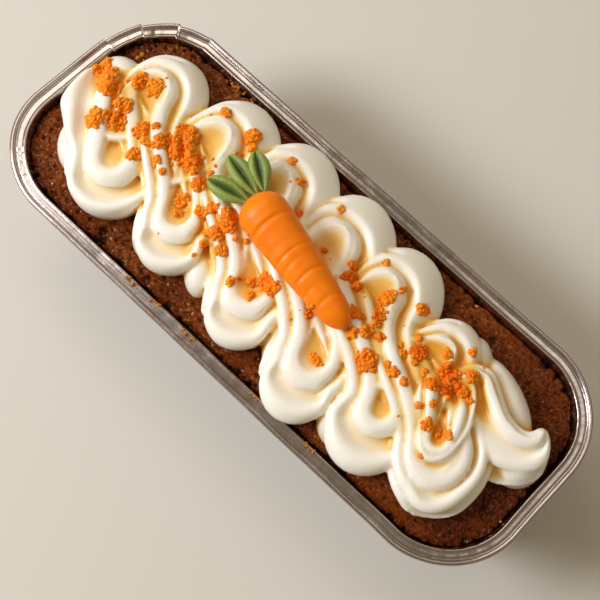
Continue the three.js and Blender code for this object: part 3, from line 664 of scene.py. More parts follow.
def rope_skin(path, reach, width, deepened, spacing=RIDGE_SPACING, widening=RIDGE_WIDENING):
    """The ridged section carried along the path. Hollows squeeze its sides, its foot runs
    down into the cake, its two ends taper off as quarter circles, and by the wall of the tin
    its sideways distance dies away towards the wall."""
    count = len(path)
    way = np.gradient(path[:, :2], axis=0)
    way /= np.linalg.norm(way, axis=1)[:, None]
    side = np.column_stack([-way[:, 1], way[:, 0]])
    across, up = ridged_section(width, deepened, spacing, widening)
    across = np.hstack([across, ROPE_FOOT * width[:, ::-1] * (-1, 1)])
    across = squeezed(across, np.where(across > 0, reach[:, :1], reach[:, 1:]))
    centre_height = ROPE_LOW + path[:, 2:3]
    low = np.full((count, 2), CAKE_AT_ICING - FOOT_DEPTH)
    height = np.hstack([centre_height + up, low])
    from_end = np.minimum(np.arange(count), np.arange(count)[::-1])[:, None] * PATH_STEP
    taper = np.sqrt(1 - (1 - np.clip(from_end / ROPE_END, 0, 1)) ** 2)
    narrower, lower = (np.maximum(taper, left) for left in ENDS_LEFT)
    across = across * narrower
    height = centre_height + (height - centre_height) * lower
    x = path[:, 0:1] + across * side[:, 0:1]
    pressed = np.minimum(x - WALL_AT_START - WALL_PRESS, 0) / WALL_PRESS
    x = np.where(pressed < 0, WALL_AT_START + WALL_PRESS * np.exp(pressed), x)
    grid = np.dstack([x, path[:, 1:2] + across * side[:, 1:2], height])
    return closed_skin("icing_rope", to_frame(grid), to_frame(grid[0].mean(0)),
                       to_frame(grid[-1].mean(0)))


LOBE_FULLNESS = 2.3  # 2 would make a lobe an ellipsoid, and more makes its sides fuller
LOBE_DEPTH = 0.25  # depth of a lobe's lower half, as part of its height
BED_REACH = (14.0, 7.0)  # along the rope's hollow and across it
BED_SHIFT = 7.0  # from the middle of the bend inwards
# On the near and on the far side: height of a hollow's bottom over the middle of the rope,
# and how far it rises to its rim.
BED_LOW = (3.6, 5.2)
BED_RISE = (3.0, 2.0)
BED_BASE = 1.0  # depth of its base in the cake
BED_EDGE = 0.8  # how far its rim rounds down
# Rings of a bed as parts of its reach: its top, its rim, and its side and base.
BED_RINGS = (0.15, 0.3, 0.45, 0.6, 0.75, 0.88, 0.97, 1.0, 1.0, 0.5)


def laid(name, centre, x, y, z, heading, top, base):
    """A closed skin from level rings about a centre, turned by the heading about Z."""
    c, s = math.cos(heading), math.sin(heading)
    grid = np.dstack([centre[0] + c * x - s * y, centre[1] + s * x + c * y, z])
    poles = [to_frame((*centre, height)) for height in (top, base)]
    return closed_skin(name, to_frame(grid), *poles)


def lobe(centre, radii, heading):
    """A closed lobe of icing: an ellipsoid with fuller sides. Its lower half, which is inside
    the cake, is flatter and stays clear of the tin."""
    polar = np.linspace(0, math.pi, 26)[1:-1][:, None]
    turn = np.linspace(0, 2 * math.pi, 40, endpoint=False)[None, :]
    ring = np.sin(polar) ** (2 / LOBE_FULLNESS)
    rise = np.cos(polar) * np.where(np.cos(polar) > 0, 1, LOBE_DEPTH)
    z = CAKE_AT_ICING + radii[2] * rise * np.ones_like(turn)
    return laid("lobe", centre, radii[0] * ring * np.cos(turn), radii[1] * ring * np.sin(turn), z,
                heading, CAKE_AT_ICING + radii[2], CAKE_AT_ICING - LOBE_DEPTH * radii[2])


def bed(centre, low, rise, heading):
    """A closed bed under a hollow of the rope: its top is a paraboloid that rises to a
    rounded rim, its side is straight and its base lies in the cake."""
    turn = np.linspace(0, 2 * math.pi, 48, endpoint=False)[None, :]
    part = np.array(BED_RINGS)[:, None]
    height = low + rise * part**2
    height[7] -= BED_EDGE
    height[8:] = CAKE_AT_ICING - BED_BASE
    return laid("bed", centre, BED_REACH[0] * part * np.cos(turn),
                BED_REACH[1] * part * np.sin(turn), height * np.ones_like(turn), heading, low,
                CAKE_AT_ICING - BED_BASE)


# Lobes of an earlier layer that show between the turns: middle, half length, half width,
# height and heading in degrees.
UNDER_LOBES = [
    (-43.5, -20.5, 8.5, 5.2, 8.0, 128), (-23.2, -18.1, 8.5, 5.2, 8.0, 128),
    (11.3, -19.3, 8.5, 5.2, 8.0, 128), (38.0, -23.4, 8.5, 5.2, 8.0, 128),
    (61.5, -18.6, 8.5, 5.2, 8.0, 128), (-62.5, 17.5, 8.5, 5.2, 8.0, 128),
    (-9.5, 22.0, 8.5, 5.2, 8.0, 128), (14.0, 20.0, 8.5, 5.2, 8.0, 128),
    (58.0, 18.5, 8.5, 5.2, 8.0, 128), (71.5, 16.6, 14.0, 5.5, 8.5, 158),
    (-86.2, 10.5, 8.0, 6.5, 10.0, 18), (-79.0, -14.0, 10.5, 8.5, 8.5, 128),
    (-91.5, -6.2, 3.4, 1.9, 7.5, 168), (87.3, 4.2, 7.8, 7.0, 9.0, 70),
]


def joined(pieces):
    """The pieces as one object, which keeps the first one's name."""
    bpy.ops.object.select_all(action="DESELECT")
    for piece in pieces:
        piece.select_set(True)
    bpy.context.view_layer.objects.active = pieces[0]
    bpy.ops.object.join()
    return pieces[0]


def icing():
    """The whole icing: the rope, the beds under its hollows and the lobes between its
    turns, joined by a voxel remesh into one closed skin and then softened."""
    pieces = [rope_skin(*rope_path()), rope_skin(*closing_path(), CLOSING_SPACING, 0)]
    for index, (x, y, _, lean, raised) in enumerate(turn[:5] for turn in TURNS[:-1]):
        inward = math.radians(lean) + math.pi / 2
        shift = -BED_SHIFT if index % 2 else BED_SHIFT
        centre = (x + shift * math.cos(inward), y + shift * math.sin(inward))
        low = ROPE_LOW + raised + BED_LOW[index % 2]
        pieces.append(bed(centre, low, BED_RISE[index % 2], inward))
    for x, y, *radii, heading in UNDER_LOBES:
        pieces.append(lobe((x, y), radii, math.radians(heading)))
    whole = joined(pieces)
    whole.name = "icing"
    remesh = whole.modifiers.new("merge", "REMESH")
    remesh.mode = "VOXEL"
    remesh.voxel_size = VOXEL * MM
    soften = whole.modifiers.new("soften", "SMOOTH")
    soften.factor = 0.5
    soften.iterations = 4
    thin = whole.modifiers.new("thin out", "DECIMATE")
    thin.ratio = ICING_KEPT
    applied(whole)
    whole.data.polygons.foreach_set("use_smooth", np.full(len(whole.data.polygons), True))
    return whole


HEIGHT_CELL = 0.8  # of the grid on which the icing's height is softened
HOLLOW_WIDTH = 3.2  # of the bell curve that softens it
CREASE_ROUNDS = 24


def blurred(field, width):
    """A grid of heights softened both ways by a bell curve of that width in cells."""
    bell, reach = bell_curve(width)
    for _ in range(2):
        padded = np.pad(field, ((reach, reach), (0, 0)), mode="edge")
        field = sum(weight * padded[k : k + len(field)] for k, weight in enumerate(bell)).T
    return field


def below_surroundings(points, width):
    """How far each point in mm lies below the softened height of the icing round it, which
    is read between the cells of a grid."""
    margin = 10
    low = points[:, :2].min(axis=0) - margin
    place = (points[:, :2] - low) / HEIGHT_CELL
    index = place.astype(int)
    heights = np.full(index.max(axis=0) + math.ceil(margin / HEIGHT_CELL) + 1, CAKE_AT_ICING)
    np.maximum.at(heights, tuple(index.T), points[:, 2])
    heights = blurred(heights, width / HEIGHT_CELL)
    part = place - 0.5 - np.floor(place - 0.5)
    i, j = np.floor(place - 0.5).astype(int).T
    u, v = part.T
    around = (heights[i, j] * (1 - u) + heights[i + 1, j] * u) * (1 - v)
    around += (heights[i, j + 1] * (1 - u) + heights[i + 1, j + 1] * u) * v
    return around - points[:, 2]


def creased(piece, rounds):
    """How far in mm each point lies under the average of its neighbourhood, taken that
    many steps wide, measured along its normal."""
    mesh = piece.data
    edges = np.empty(len(mesh.edges) * 2, np.int32)
    mesh.edges.foreach_get("vertices", edges)
    one, other = edges.reshape(-1, 2).T
    normals = np.empty(len(mesh.vertices) * 3)
    mesh.vertices.foreach_get("normal", normals)
    points = vertex_array(piece) / MM
    count = np.bincount(one, minlength=len(points)) + np.bincount(other, minlength=len(points))
    soft = points.copy()
    for _ in range(rounds):
        total = np.stack([
            np.bincount(one, soft[other, k], len(soft)) + np.bincount(other, soft[one, k], len(soft))
            for k in range(3)
        ], axis=1)
        soft = 0.5 * soft + 0.5 * total / count[:, None]
    return np.sum((soft - points) * normals.reshape(-1, 3), axis=1)


ICING = icing()
icing_points = vertex_array(ICING) / MM - (MIDDLE_X, 0, TIN_HEIGHT)
# How far each point lies below its surroundings and in a crease, which the icing's colour turns into
# painted shade.
with_numbers(ICING, "hollow", below_surroundings(icing_points, HOLLOW_WIDTH))
with_numbers(ICING, "crease", creased(ICING, CREASE_ROUNDS))
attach(ICING, "root")
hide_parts("frosting")

# ---------------------------------------------------------------- sugar carrot

CARROT_HEAD = np.array([-24.0, 6.3, 15.0])
CARROT_TIP = np.array([23.8, -3.2, 13.0])
CARROT_RADIUS = 8.0
CARROT_FLATTENING = 0.82
ROUND_HEAD = 0.14  # part of its length over which the head is rounded
ROUND_TIP = 0.13
CARROT_TAPER = 0.5  # how much thinner it is at the tip
CREASE_BEND = 0.012  # how far a crease bends along the body, as part of its length
CREASE_LEFT = 0.12  # part of a crease's depth that is left on its far side
CREASE_SWELL = 0.3  # how much the body swells beside a crease, as part of the crease's depth
CARROT_DENT = 0.14
LEAF_DENT = 0.16
# Creases across the body: place along it, depth, width, and the side that each is deepest on.
CARROT_CREASES = [
    (0.22, 0.7, 0.015, 115), (0.3, 0.1, 0.03, 150), (0.375, 0.14, 0.02, 140),
    (0.445, 0.34, 0.012, 110), (0.51, 0.24, 0.016, 140), (0.612, 0.42, 0.014, 100),
    (0.7, 0.22, 0.018, 140), (0.803, 0.36, 0.016, 95),
]
# Root and tip of each leaf.
LEAVES = [
    ((-22.8, 10.6), (-33.6, 17.8)), ((-23.4, 8.2), (-38.5, 11.4)), ((-23.6, 5.0), (-38.0, 1.6)),
]
LEAF_LEVEL = 14.0
LEAF_WIDTH = 7.2
LEAF_THICKNESS = 4.0
# Depth in mm, and width as a part of the leaf's, of its soft groove and of the sharp crease.
LEAF_GROOVES = [(1.25, 0.34), (0.5, 0.1)]


def across_and_up(axis):
    """The level direction across an axis and the one that stands up from both."""
    across = np.array([-axis[1], axis[0], 0]) / math.hypot(axis[0], axis[1])
    up = np.cross(axis, across)
    return across, up / np.linalg.norm(up)


def carrot_body():
    """Rings round a straight axis. The radius is a round head, a slow taper and a blunt
    tip, less a bell-shaped dip at each crease, which fades round the body."""
    t = np.linspace(0, 1, 172)[1:-1, None]
    along = t - 0.09 * np.sin(4 * math.pi * t) / math.pi
    around = np.linspace(0, 2 * math.pi, 110, endpoint=False)[None, :]
    head = np.sqrt(1 - (1 - np.minimum(along / ROUND_HEAD, 1)) ** 2)
    tip = np.sqrt(1 - np.maximum((along - (1 - ROUND_TIP)) / ROUND_TIP, 0) ** 2)
    taper = 1 - CARROT_TAPER * along**1.6
    radius = CARROT_RADIUS * head * tip * taper * np.ones_like(around)
    for place, depth, width, side in CARROT_CREASES:
        turned_away = 1 - np.cos(around - math.radians(side))
        bent = place + CREASE_BEND * np.cos(2 * around)
        fade = CREASE_LEFT + (1 - CREASE_LEFT) * np.exp(-2.0 * turned_away)
        radius = radius - head * tip * depth * fade * np.exp(-(((along - bent) / width) ** 2))
        swell = CREASE_SWELL * np.exp(-(((along - bent) / width / 3) ** 2))
        radius = radius + head * tip * depth * swell
    axis = CARROT_TIP - CARROT_HEAD
    across, up = across_and_up(axis)
    grid = CARROT_HEAD + along[..., None] * axis
    grid = grid + (radius * np.cos(around))[..., None] * across
    grid = grid + (CARROT_FLATTENING * radius * np.sin(around))[..., None] * up
    dents = layered_noise(grid.reshape(-1, 3), 6, 13).reshape(radius.shape + (1,))
    grid = grid + CARROT_DENT * dents * (grid - CARROT_HEAD - along[..., None] * axis) / CARROT_RADIUS
    return closed_skin("carrot", to_frame(grid), to_frame(CARROT_HEAD), to_frame(CARROT_TIP))


def carrot_leaf(name, root, tip, seed):
    """Rings along a level axis, narrow at the root and round at the tip. The upper side
    has a soft groove with a sharp crease in its middle."""
    along = ((1 - np.cos(np.linspace(0, math.pi, 62))) / 2)[1:-1, None]
    around = np.linspace(0, 2 * math.pi, 72, endpoint=False)[None, :]
    start = np.array([*root, LEAF_LEVEL - 0.6])
    axis = np.array([*tip, LEAF_LEVEL]) - start
    across, up = across_and_up(axis)
    plump = np.sin(math.pi * along**1.15) ** 0.5 * (0.75 + 0.25 * smooth(0, 0.5, along))
    groove = sum(
        depth * np.exp(-((np.cos(around) / width) ** 2)) for depth, width in LEAF_GROOVES
    )
    lift = plump * (np.sin(around) * LEAF_THICKNESS / 2 - groove * (np.sin(around) > 0))
    sideways = np.cos(around) * LEAF_WIDTH / 2 * plump
    grid = start + along[..., None] * axis + sideways[..., None] * across + lift[..., None] * up
    dents = layered_noise(grid.reshape(-1, 3), 3.2, seed).reshape(lift.shape)
    grid = grid + (LEAF_DENT * dents * plump)[..., None] * up
    # Depth of the groove, which the leaves' colour paints darker as shade.
    hollow = plump * groove * (np.sin(around) > 0) * np.ones_like(lift)
    leaf = closed_skin(name, to_frame(grid), to_frame(start), to_frame(start + axis))
    with_numbers(leaf, "hollow", np.append(hollow.ravel(), [0, 0]))
    return leaf


CARROT = carrot_body()
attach(CARROT, "root")
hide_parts("carrot_body")
LEAF_PIECES = []
for number, (root, tip) in enumerate(LEAVES, start=1):
    leaf = carrot_leaf(f"leaf_{number}", root, tip, 90 + number)
    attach(leaf, "root")
    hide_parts(f"carrot_leaf_{number}")
    LEAF_PIECES.append(leaf)

# ---------------------------------------------------------------- crumbs

# Heaps of candied carrot crumbs: where the middle is seen in a level plane just above the
# rim, width, length in mm, and how dark.
HEAP_PLANE = 6.0
CRUMB_HEAPS = [
    (-91.2, 7.5, 6, 8, 0.4), (-87, 7.5, 5, 5, 0.3), (-87, 4.5, 6, 5, 0.3),
    (-83.5, 4, 7, 7.5, 0.4), (-78, 1.5, 3.5, 3, 0.3), (-76, 2.5, 5.5, 5.5, 0.4),
    (-74, -2.5, 6, 6.5, 0.5), (-78, -3, 2.6, 2.4, 0.2), (-80, -6.7, 6.5, 6.5, 0.3),
    (-78.5, 11.5, 4, 6, 0.4), (-73, 13.5, 5.5, 6, 0.2), (-81, 9, 1, 1, 0.5),
    (-73, 18, 0.8, 0.8, 0.2), (-66.5, 0.5, 5, 6, 0.4), (-64, 4.5, 2.6, 2.4, 0.6),
    (-63, -1.5, 2.6, 2.2, 0.2), (-62.5, -6.8, 4, 4.2, 0.3), (-59.3, 2.5, 5, 7, 0.4),
    (-55, 9.2, 8.5, 7, 0.5), (-53, 4.2, 8, 8, 0.6), (-48.5, 4, 7, 8, 0.6), (-45, 2.5, 3, 3, 0.3),
    (-56, -2.8, 3, 2, 0.3), (-55, -5, 1.3, 1.1, 0.2), (-52, -4.5, 2.2, 2, 0.3),
    (-51.5, -1, 1.1, 1, 0.3), (-51, 22.5, 3.6, 3.4, 0.2), (-54.3, 18.8, 0.9, 0.9, 0.6),
    (-39.5, 22.5, 5.5, 6, 0.3), (-36.8, 19.5, 3, 3, 0.3), (-38.5, 14.8, 2.8, 1.6, 0.5),
    (-43.3, 8.8, 0.9, 0.8, 0.6), (-41.5, 7.8, 0.9, 0.9, 0.6), (-40.8, 5.2, 1.8, 1.8, 0.6),
    (-41, 0, 4.6, 5, 0.5), (-41, -7.3, 4.2, 4.6, 0.3), (-39, -11, 3.2, 3, 0.2),
    (-32.5, -2.5, 4.5, 3.2, 0.5), (-34, -6, 4.2, 3.6, 0.4), (-27, -0.5, 5.5, 5.5, 0.6),
    (-25.5, -3.5, 5, 4.5, 0.5), (-26, -7, 5, 4.8, 0.5), (-28, -9.5, 2.6, 2.4, 0.4),
    (-26.5, -12.5, 2.2, 2.2, 0.4), (-26.3, -17, 1.2, 1.3, 0.5), (-21, -10.3, 4.2, 3.4, 0.3),
    (-20.5, -5, 1.6, 1.4, 0.4), (-17.5, -2.8, 1.6, 1.6, 0.4), (-25.3, 25.2, 2.4, 2.4, 0.2),
    (-19.5, 22, 2.4, 1.5, 0.4), (-21.1, 19.9, 0.8, 0.9, 0.4), (-18, 22.7, 0.9, 0.8, 0.5),
    (-12.5, -15.3, 2.9, 2.9, 0.2), (-11, -13, 1.4, 1.3, 0.4), (-7.7, -11.5, 2.8, 2.6, 0.4),
    (-4.6, -8.2, 5.2, 5, 0.6), (-1.5, -8.5, 4, 5, 0.5), (-5, -14.7, 2.9, 2.9, 0.3),
    (-3.8, 24, 1.9, 2, 0.2), (-11.7, 14.7, 2, 1.8, 0.8), (1.5, 11, 1.6, 1.5, 0.9),
    (4.7, 10.6, 0.8, 0.8, 0.8), (8.8, -7.8, 0.8, 0.8, 0.5), (8.8, -11.3, 0.9, 0.9, 0.2),
    (11, 13.6, 3.2, 2.4, 0.4), (13.3, 10.8, 4.5, 4, 0.9), (16.3, 9.5, 3, 3, 0.6),
    (18.8, 9.8, 1, 1, 0.5), (20.3, 9, 0.7, 0.7, 0.2), (11.5, 9.5, 2.5, 2.5, 0.9),
    (18, 21, 2.5, 2.3, 0.2), (27, 18.3, 2.1, 2.5, 0.4), (25.8, 15.8, 2, 1.6, 0.3),
    (25.5, 13, 4.6, 5.6, 0.4), (35.5, 18, 4.2, 4, 0.3), (34.8, 10.5, 0.9, 0.8, 0.3),
    (27.3, 7.7, 4.2, 5, 0.5), (28.6, 5.5, 2.5, 2.5, 0.4), (22, 3.5, 4.6, 3.2, 0.5),
    (19.8, 4.5, 1, 1, 0.4), (32, 3, 2.8, 2.6, 0.6), (28, 1.5, 4, 4.4, 0.4), (25, -2, 3.2, 4, 0.3),
    (34, -5, 7.4, 6.8, 0.5), (22.8, -15.3, 5.4, 2.6, 0.3), (11.5, -6.5, 3.2, 3.2, 0.6),
    (40.5, 11, 2.4, 2.6, 0.3), (43.5, 7.5, 5.4, 5.2, 0.8), (44.8, 4.5, 2.2, 2, 0.4),
    (38.3, 5.6, 1.5, 1.5, 0.3), (40.3, 3.8, 2.7, 2.5, 0.3), (39.3, -1.8, 2, 2, 0.4),
    (42, -2.2, 3.2, 2.8, 0.4), (46.2, -2, 2.4, 2.8, 0.5), (48.8, 4.3, 2.2, 2, 0.4),
    (50.3, 13, 2.9, 2.9, 0.4), (54.5, 8.6, 6.5, 6.5, 0.9), (57, 5, 5, 5, 0.9),
    (52.5, 3, 4.2, 4, 0.6), (58.9, 7.2, 3, 3.4, 0.8), (57, -1, 2.6, 2.2, 0.4),
    (54.5, -4.4, 1.9, 1.6, 0.3), (55.3, 18.6, 2.4, 2.9, 0.2), (60, 13, 4, 4.2, 0.4),
    (59.8, -7, 3.4, 3.6, 0.6), (60.5, 17.3, 0.8, 1, 0.3), (61, 7.6, 4, 4, 0.6),
    (64.3, 7, 2.3, 2.1, 0.5), (63.6, -6.6, 2.6, 2.4, 0.4), (66.3, -4.8, 2.3, 3, 0.3),
    (64.7, -14.9, 1.6, 1, 0.4), (-49.5, -15.5, 0.8, 0.9, 0.1), (-49.6, -19, 0.6, 0.6, 0.1),
    (-38.8, -19.6, 0.6, 0.6, 0.1), (52, -11, 0.7, 0.7, 0.3),
]
CRUMB_SIZE = 0.68  # mean radius of a crumb
CRUMB_SIZES = (0.62, 1.3)  # smallest and largest, as parts of that
CRUMB_SPREAD = 0.4  # square mm of heap for each crumb
HEAP_EDGE = (0.7, 1.12)  # how raggedly a heap ends, as parts of its reach
HEAPED_FROM = 12  # crumbs from which a heap has a second layer
HEAPED_SHARE = 0.45  # part of its crumbs that may lie in it
HEAPED_LIFT = 0.8
SHADE_CHANGE = 0.25
FILLING_DROP = 0.35  # how far the coarser crumbs lie below the others
FILLING_SIZE = 1.3
# Grains: how far noise moves their points and its size, how many flat sides they have and
# how far from the middle those are, and their least and greatest stretch.
GRAIN_BUMP = 0.34
GRAIN_BUMP_SIZE = 0.75
GRAIN_FLATS = 6
GRAIN_FLAT_AT = (0.5, 0.85)
GRAIN_STRETCH = (0.72, 1.25)
GOLDEN_ANGLE = 2.39996
STAIN_SPREAD = 2.2  # how far it reaches past a heap
STAIN_LIMIT = 1.8
HOLLOW_PAINTED_SHADE = (0.6, 3.2)  # painted shade in the hollows of the near and of the far side
HOLLOW_REACH = 6.5
NEAR_WHITENESS = 0.3  # how much less painted shade the lobes along the near side get, where the key light falls
NEAR_SIDE = (-13, -22)  # where that begins and is full
# White patches at the end where the rope starts: x, y, reach and how much less yellow, syrup and
# painted shade, they get.
WHITE_PATCHES = [(-88.0, -4.0, 8.0, 1.0), (-79.0, -16.0, 8.0, 0.8)]


def landing(trees, x, y):
    """Height in mm of the first surface met straight down at a place, and its slope."""
    best, normal = CAKE_AT_ICING, Vector((0, 0, 1))
    start = Vector(to_frame((x, y, 40)))
    for tree in trees:
        place, facing, _, _ = tree.ray_cast(start, Vector((0, 0, -1)))
        if place is not None and place.z / MM - TIN_HEIGHT > best:
            best, normal = place.z / MM - TIN_HEIGHT, facing
    return best, normal


def settled(heaps):
    """The heaps moved along the camera's line of sight, from where they are seen in the
    level plane to where that line meets the icing."""
    tree = BVHTree.FromObject(ICING, bpy.context.evaluated_depsgraph_get())
    eye = Vector(to_frame(eye_point()))
    moved = []
    for x, y, *form in heaps:
        sight = Vector(to_frame((x, y, HEAP_PLANE))) - eye
        place = tree.ray_cast(eye, sight.normalized())[0]
        if place is not None:
            x, y = place.x / MM - MIDDLE_X, place.y / MM
        moved.append((x, y, *form))
    return moved


def ball():
    """Points and triangles of a ball of radius 1: an icosahedron with its faces divided."""
    made = bmesh.new()
    bmesh.ops.create_icosphere(made, subdivisions=1, radius=1.0)
    points = np.array([point.co[:] for point in made.verts])
    faces = np.array([[corner.index for corner in face.verts] for face in made.faces])
    made.free()
    return points, faces


def grains(name, middles, sizes, seed):
    """Angular grains as one mesh. Each is a ball whose points are moved in and out by noise.
    It is cut flat on random sides, stretched along its own axes and turned at random."""
    rng = np.random.default_rng(seed)
    count = len(middles)
    points, faces = ball()
    stretch = rng.uniform(*GRAIN_STRETCH, (count, 1, 3))
    shifts = rng.uniform(-50, 50, (count, 1, 3))
    bumps = swell_noise((points[None] + shifts).reshape(-1, 3), GRAIN_BUMP_SIZE, seed)
    body = points[None] * (1 + GRAIN_BUMP * bumps.reshape(count, -1, 1))
    for _ in range(GRAIN_FLATS):
        facing = rng.normal(size=(count, 1, 3))
        facing /= np.linalg.norm(facing, axis=2, keepdims=True)
        beyond = np.sum(body * facing, axis=2, keepdims=True) - rng.uniform(*GRAIN_FLAT_AT)
        body = body - np.maximum(beyond, 0) * facing
    body = body * stretch
    turns = np.linalg.qr(rng.normal(size=(count, 3, 3)))[0]
    turns[:, :, 0] *= np.sign(np.linalg.det(turns))[:, None]
    body = np.einsum("nij,nkj->nki", turns, body) * np.asarray(sizes)[:, None, None]
    body = body + np.asarray(middles)[:, None, :]
    shifted = faces[None] + (np.arange(count) * len(points))[:, None, None]
    return mesh_piece(name, to_frame(body.reshape(-1, 3)), shifted.reshape(-1, 3).tolist())


def carrot_crumbs():
    """Every heap is filled outwards along a golden spiral with a ragged edge. The middle
    of a large heap carries a second layer, and coarser crumbs fill the gaps below."""
    trees = [BVHTree.FromObject(piece, bpy.context.evaluated_depsgraph_get())
             for piece in (ICING, CARROT)]
    rng = np.random.default_rng(5)
    middles, sizes, shades = [], [], []
    for x, y, width, length, dark in HEAPS:
        count = max(1, round(math.pi / 4 * width * length / CRUMB_SPREAD))
        start = rng.uniform(0, 2 * math.pi)
        for k in range(count):
            turn = start + k * GOLDEN_ANGLE
            out = math.sqrt((k + 0.5) / count) * rng.uniform(*HEAP_EDGE)
            spot_x = x + (width / 2 - 0.1) * out * math.cos(turn)
            spot_y = y + (length / 2 - 0.1) * out * math.sin(turn)
            size = CRUMB_SIZE * rng.uniform(*CRUMB_SIZES)
            size *= min(1.0, 0.25 + 0.5 * min(width, length))
            height, normal = landing(trees, spot_x, spot_y)
            lift = 0.3 * size
            if count > HEAPED_FROM and k < HEAPED_SHARE * count:
                lift += rng.uniform(0.0, HEAPED_LIFT)
            middles.append((spot_x, spot_y, height + lift))
            sizes.append(size)
            # Painted shade for light that passes through several crumbs: darker towards the middle of
            # the heap, with a random change.
            shade = dark * (1.1 - 0.5 * out) + rng.uniform(-SHADE_CHANGE, SHADE_CHANGE)
            shades.append(min(1.0, max(0.0, shade)))
    piece = grains("carrot_crumbs", middles, sizes, 8)
    lower = np.array(middles) - (0, 0, FILLING_DROP)
    filling = grains("filling", lower, FILLING_SIZE * np.array(sizes), 9)
    for part in (piece, filling):
        with_numbers(part, "shade", np.repeat(shades, len(part.data.vertices) // len(shades)))
    return joined([piece, filling])


def nearness(points, x, y, reach):
    """1 at a place, and falling away round it as a bell curve of that reach."""
    return np.exp(-((np.hypot(points[:, 0] - x, points[:, 1] - y) / reach) ** 2))


def stained_and_shaded(points):
    """How strongly the icing is tinted yellow at each point in mm: round the crumbs partly by their
    syrup and partly as painted shade, and in the hollows of the turns as painted shade. Less is
    painted along the near side, where the key light falls, and in the white patches."""
    total = np.zeros(len(points))
    for x, y, width, length, dark in HEAPS:
        strength = min(1.0, width / 3) * (0.7 + 0.6 * dark)
        total += strength * nearness(points, x, y, (width + length) / 4 + STAIN_SPREAD)
    total = np.minimum(total, STAIN_LIMIT)
    for index, (x, y) in enumerate(turn[:2] for turn in TURNS):
        total += HOLLOW_PAINTED_SHADE[index % 2] * nearness(points, x, y, HOLLOW_REACH)
    for x, y, reach, less in WHITE_PATCHES:
        total -= less * nearness(points, x, y, reach)
    return total - NEAR_WHITENESS * smooth(*NEAR_SIDE, points[:, 1])


HEAPS = settled(CRUMB_HEAPS)
# The icing's yellow tint: syrup round the crumbs, partly real and partly painted shade, and painted
# shade in the hollows.
with_numbers(ICING, "stain", stained_and_shaded(icing_points))
CRUMBS = carrot_crumbs()
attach(CRUMBS, "root")

# Patches of cake crumbs stuck to the tin: middle, reach along x and y, and how many.
TIN_SPECKS = [
    (-35.5, -35.3, 2.2, 0.5, 7), (-26.0, -35.3, 2.2, 0.5, 7), (-11.5, -35.3, 3.0, 0.5, 9),
    (14.5, -35.3, 3.5, 0.4, 7), (38.5, -35.4, 2.8, 0.5, 9), (-50.5, 33.4, 11.0, 0.5, 22),
    (-86.6, 19.8, 1.6, 1.2, 5), (94.6, -12.0, 0.4, 0.4, 1),
]
SPECK_SIZE = 0.6


def cake_specks():
    """Small flat crumbs of the cake, scattered evenly over each patch by a fixed seed."""
    trees = [BVHTree.FromObject(piece, bpy.context.evaluated_depsgraph_get())
             for piece in (TIN, CAKE)]
    rng = np.random.default_rng(12)
    middles = []
    for x, y, reach_x, reach_y, count in TIN_SPECKS:
        for _ in range(count):
            spot = (x + rng.uniform(-reach_x, reach_x), y + rng.uniform(-reach_y, reach_y))
            middles.append((*spot, landing(trees, *spot)[0] + 0.1))
    sizes = SPECK_SIZE * rng.uniform(0.6, 1.6, len(middles))
    piece = grains("cake_specks", middles, sizes, 19)
    # Set high, so the specks are painted in the lighter tone of the crumb's lumps.
    with_numbers(piece, "crumb_height", np.full(len(piece.data.vertices), 0.9))
    return piece


SPECKS = cake_specks()
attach(SPECKS, "root")

# ---------------------------------------------------------------- materials


def colour(code):
    """An sRGB hex code as the linear colour that shaders take."""
    parts = [int(code[i : i + 2], 16) / 255 for i in (1, 3, 5)]
    return [p / 12.92 if p <= 0.04045 else ((p + 0.055) / 1.055) ** 2.4 for p in parts] + [1]


def add(tree, kind, settings=None, links=None):
    """Adds a node. Settings are its properties and its inputs, by name or by place, and the
    stops of a colour ramp. Links join its inputs to sockets or to a node's first output."""
    node = tree.nodes.new("ShaderNode" + kind)
    for name, value in (settings or {}).items():
        if name == "stops":
            elements = node.color_ramp.elements
            elements[0].position, elements[1].position = value[0][0], value[-1][0]
            for place, _ in value[1:-1]:
                elements.new(place)
            for element, (_, code) in zip(elements, value):
                element.color = colour(code)
        elif isinstance(name, int) or name in node.inputs:
            node.inputs[name].default_value = value
        else:
            setattr(node, name, value)
    for name, source in (links or {}).items():
        socket = source.outputs[0] if isinstance(source, bpy.types.Node) else source
        tree.links.new(socket, node.inputs[name])
    return node


def started(name):
    """An empty material, its node tree and the place of each surface point on its piece."""
    material = bpy.data.materials.new(name)
    material.use_nodes = True
    tree = material.node_tree
    tree.nodes.clear()
    return material, tree, add(tree, "TexCoord").outputs["Object"]


def finished(tree, settings, links, height=None, depth=0.0):
    """Ends a material in a Principled surface. Its relief has a height and a depth in mm."""
    if height is not None:
        relief = {"Strength": 1.0, "Distance": depth * MM}
        links = {**links, "Normal": add(tree, "Bump", relief, {"Height": height})}
    shader = add(tree, "BsdfPrincipled", settings, links)
    add(tree, "OutputMaterial", None, {"Surface": shader})


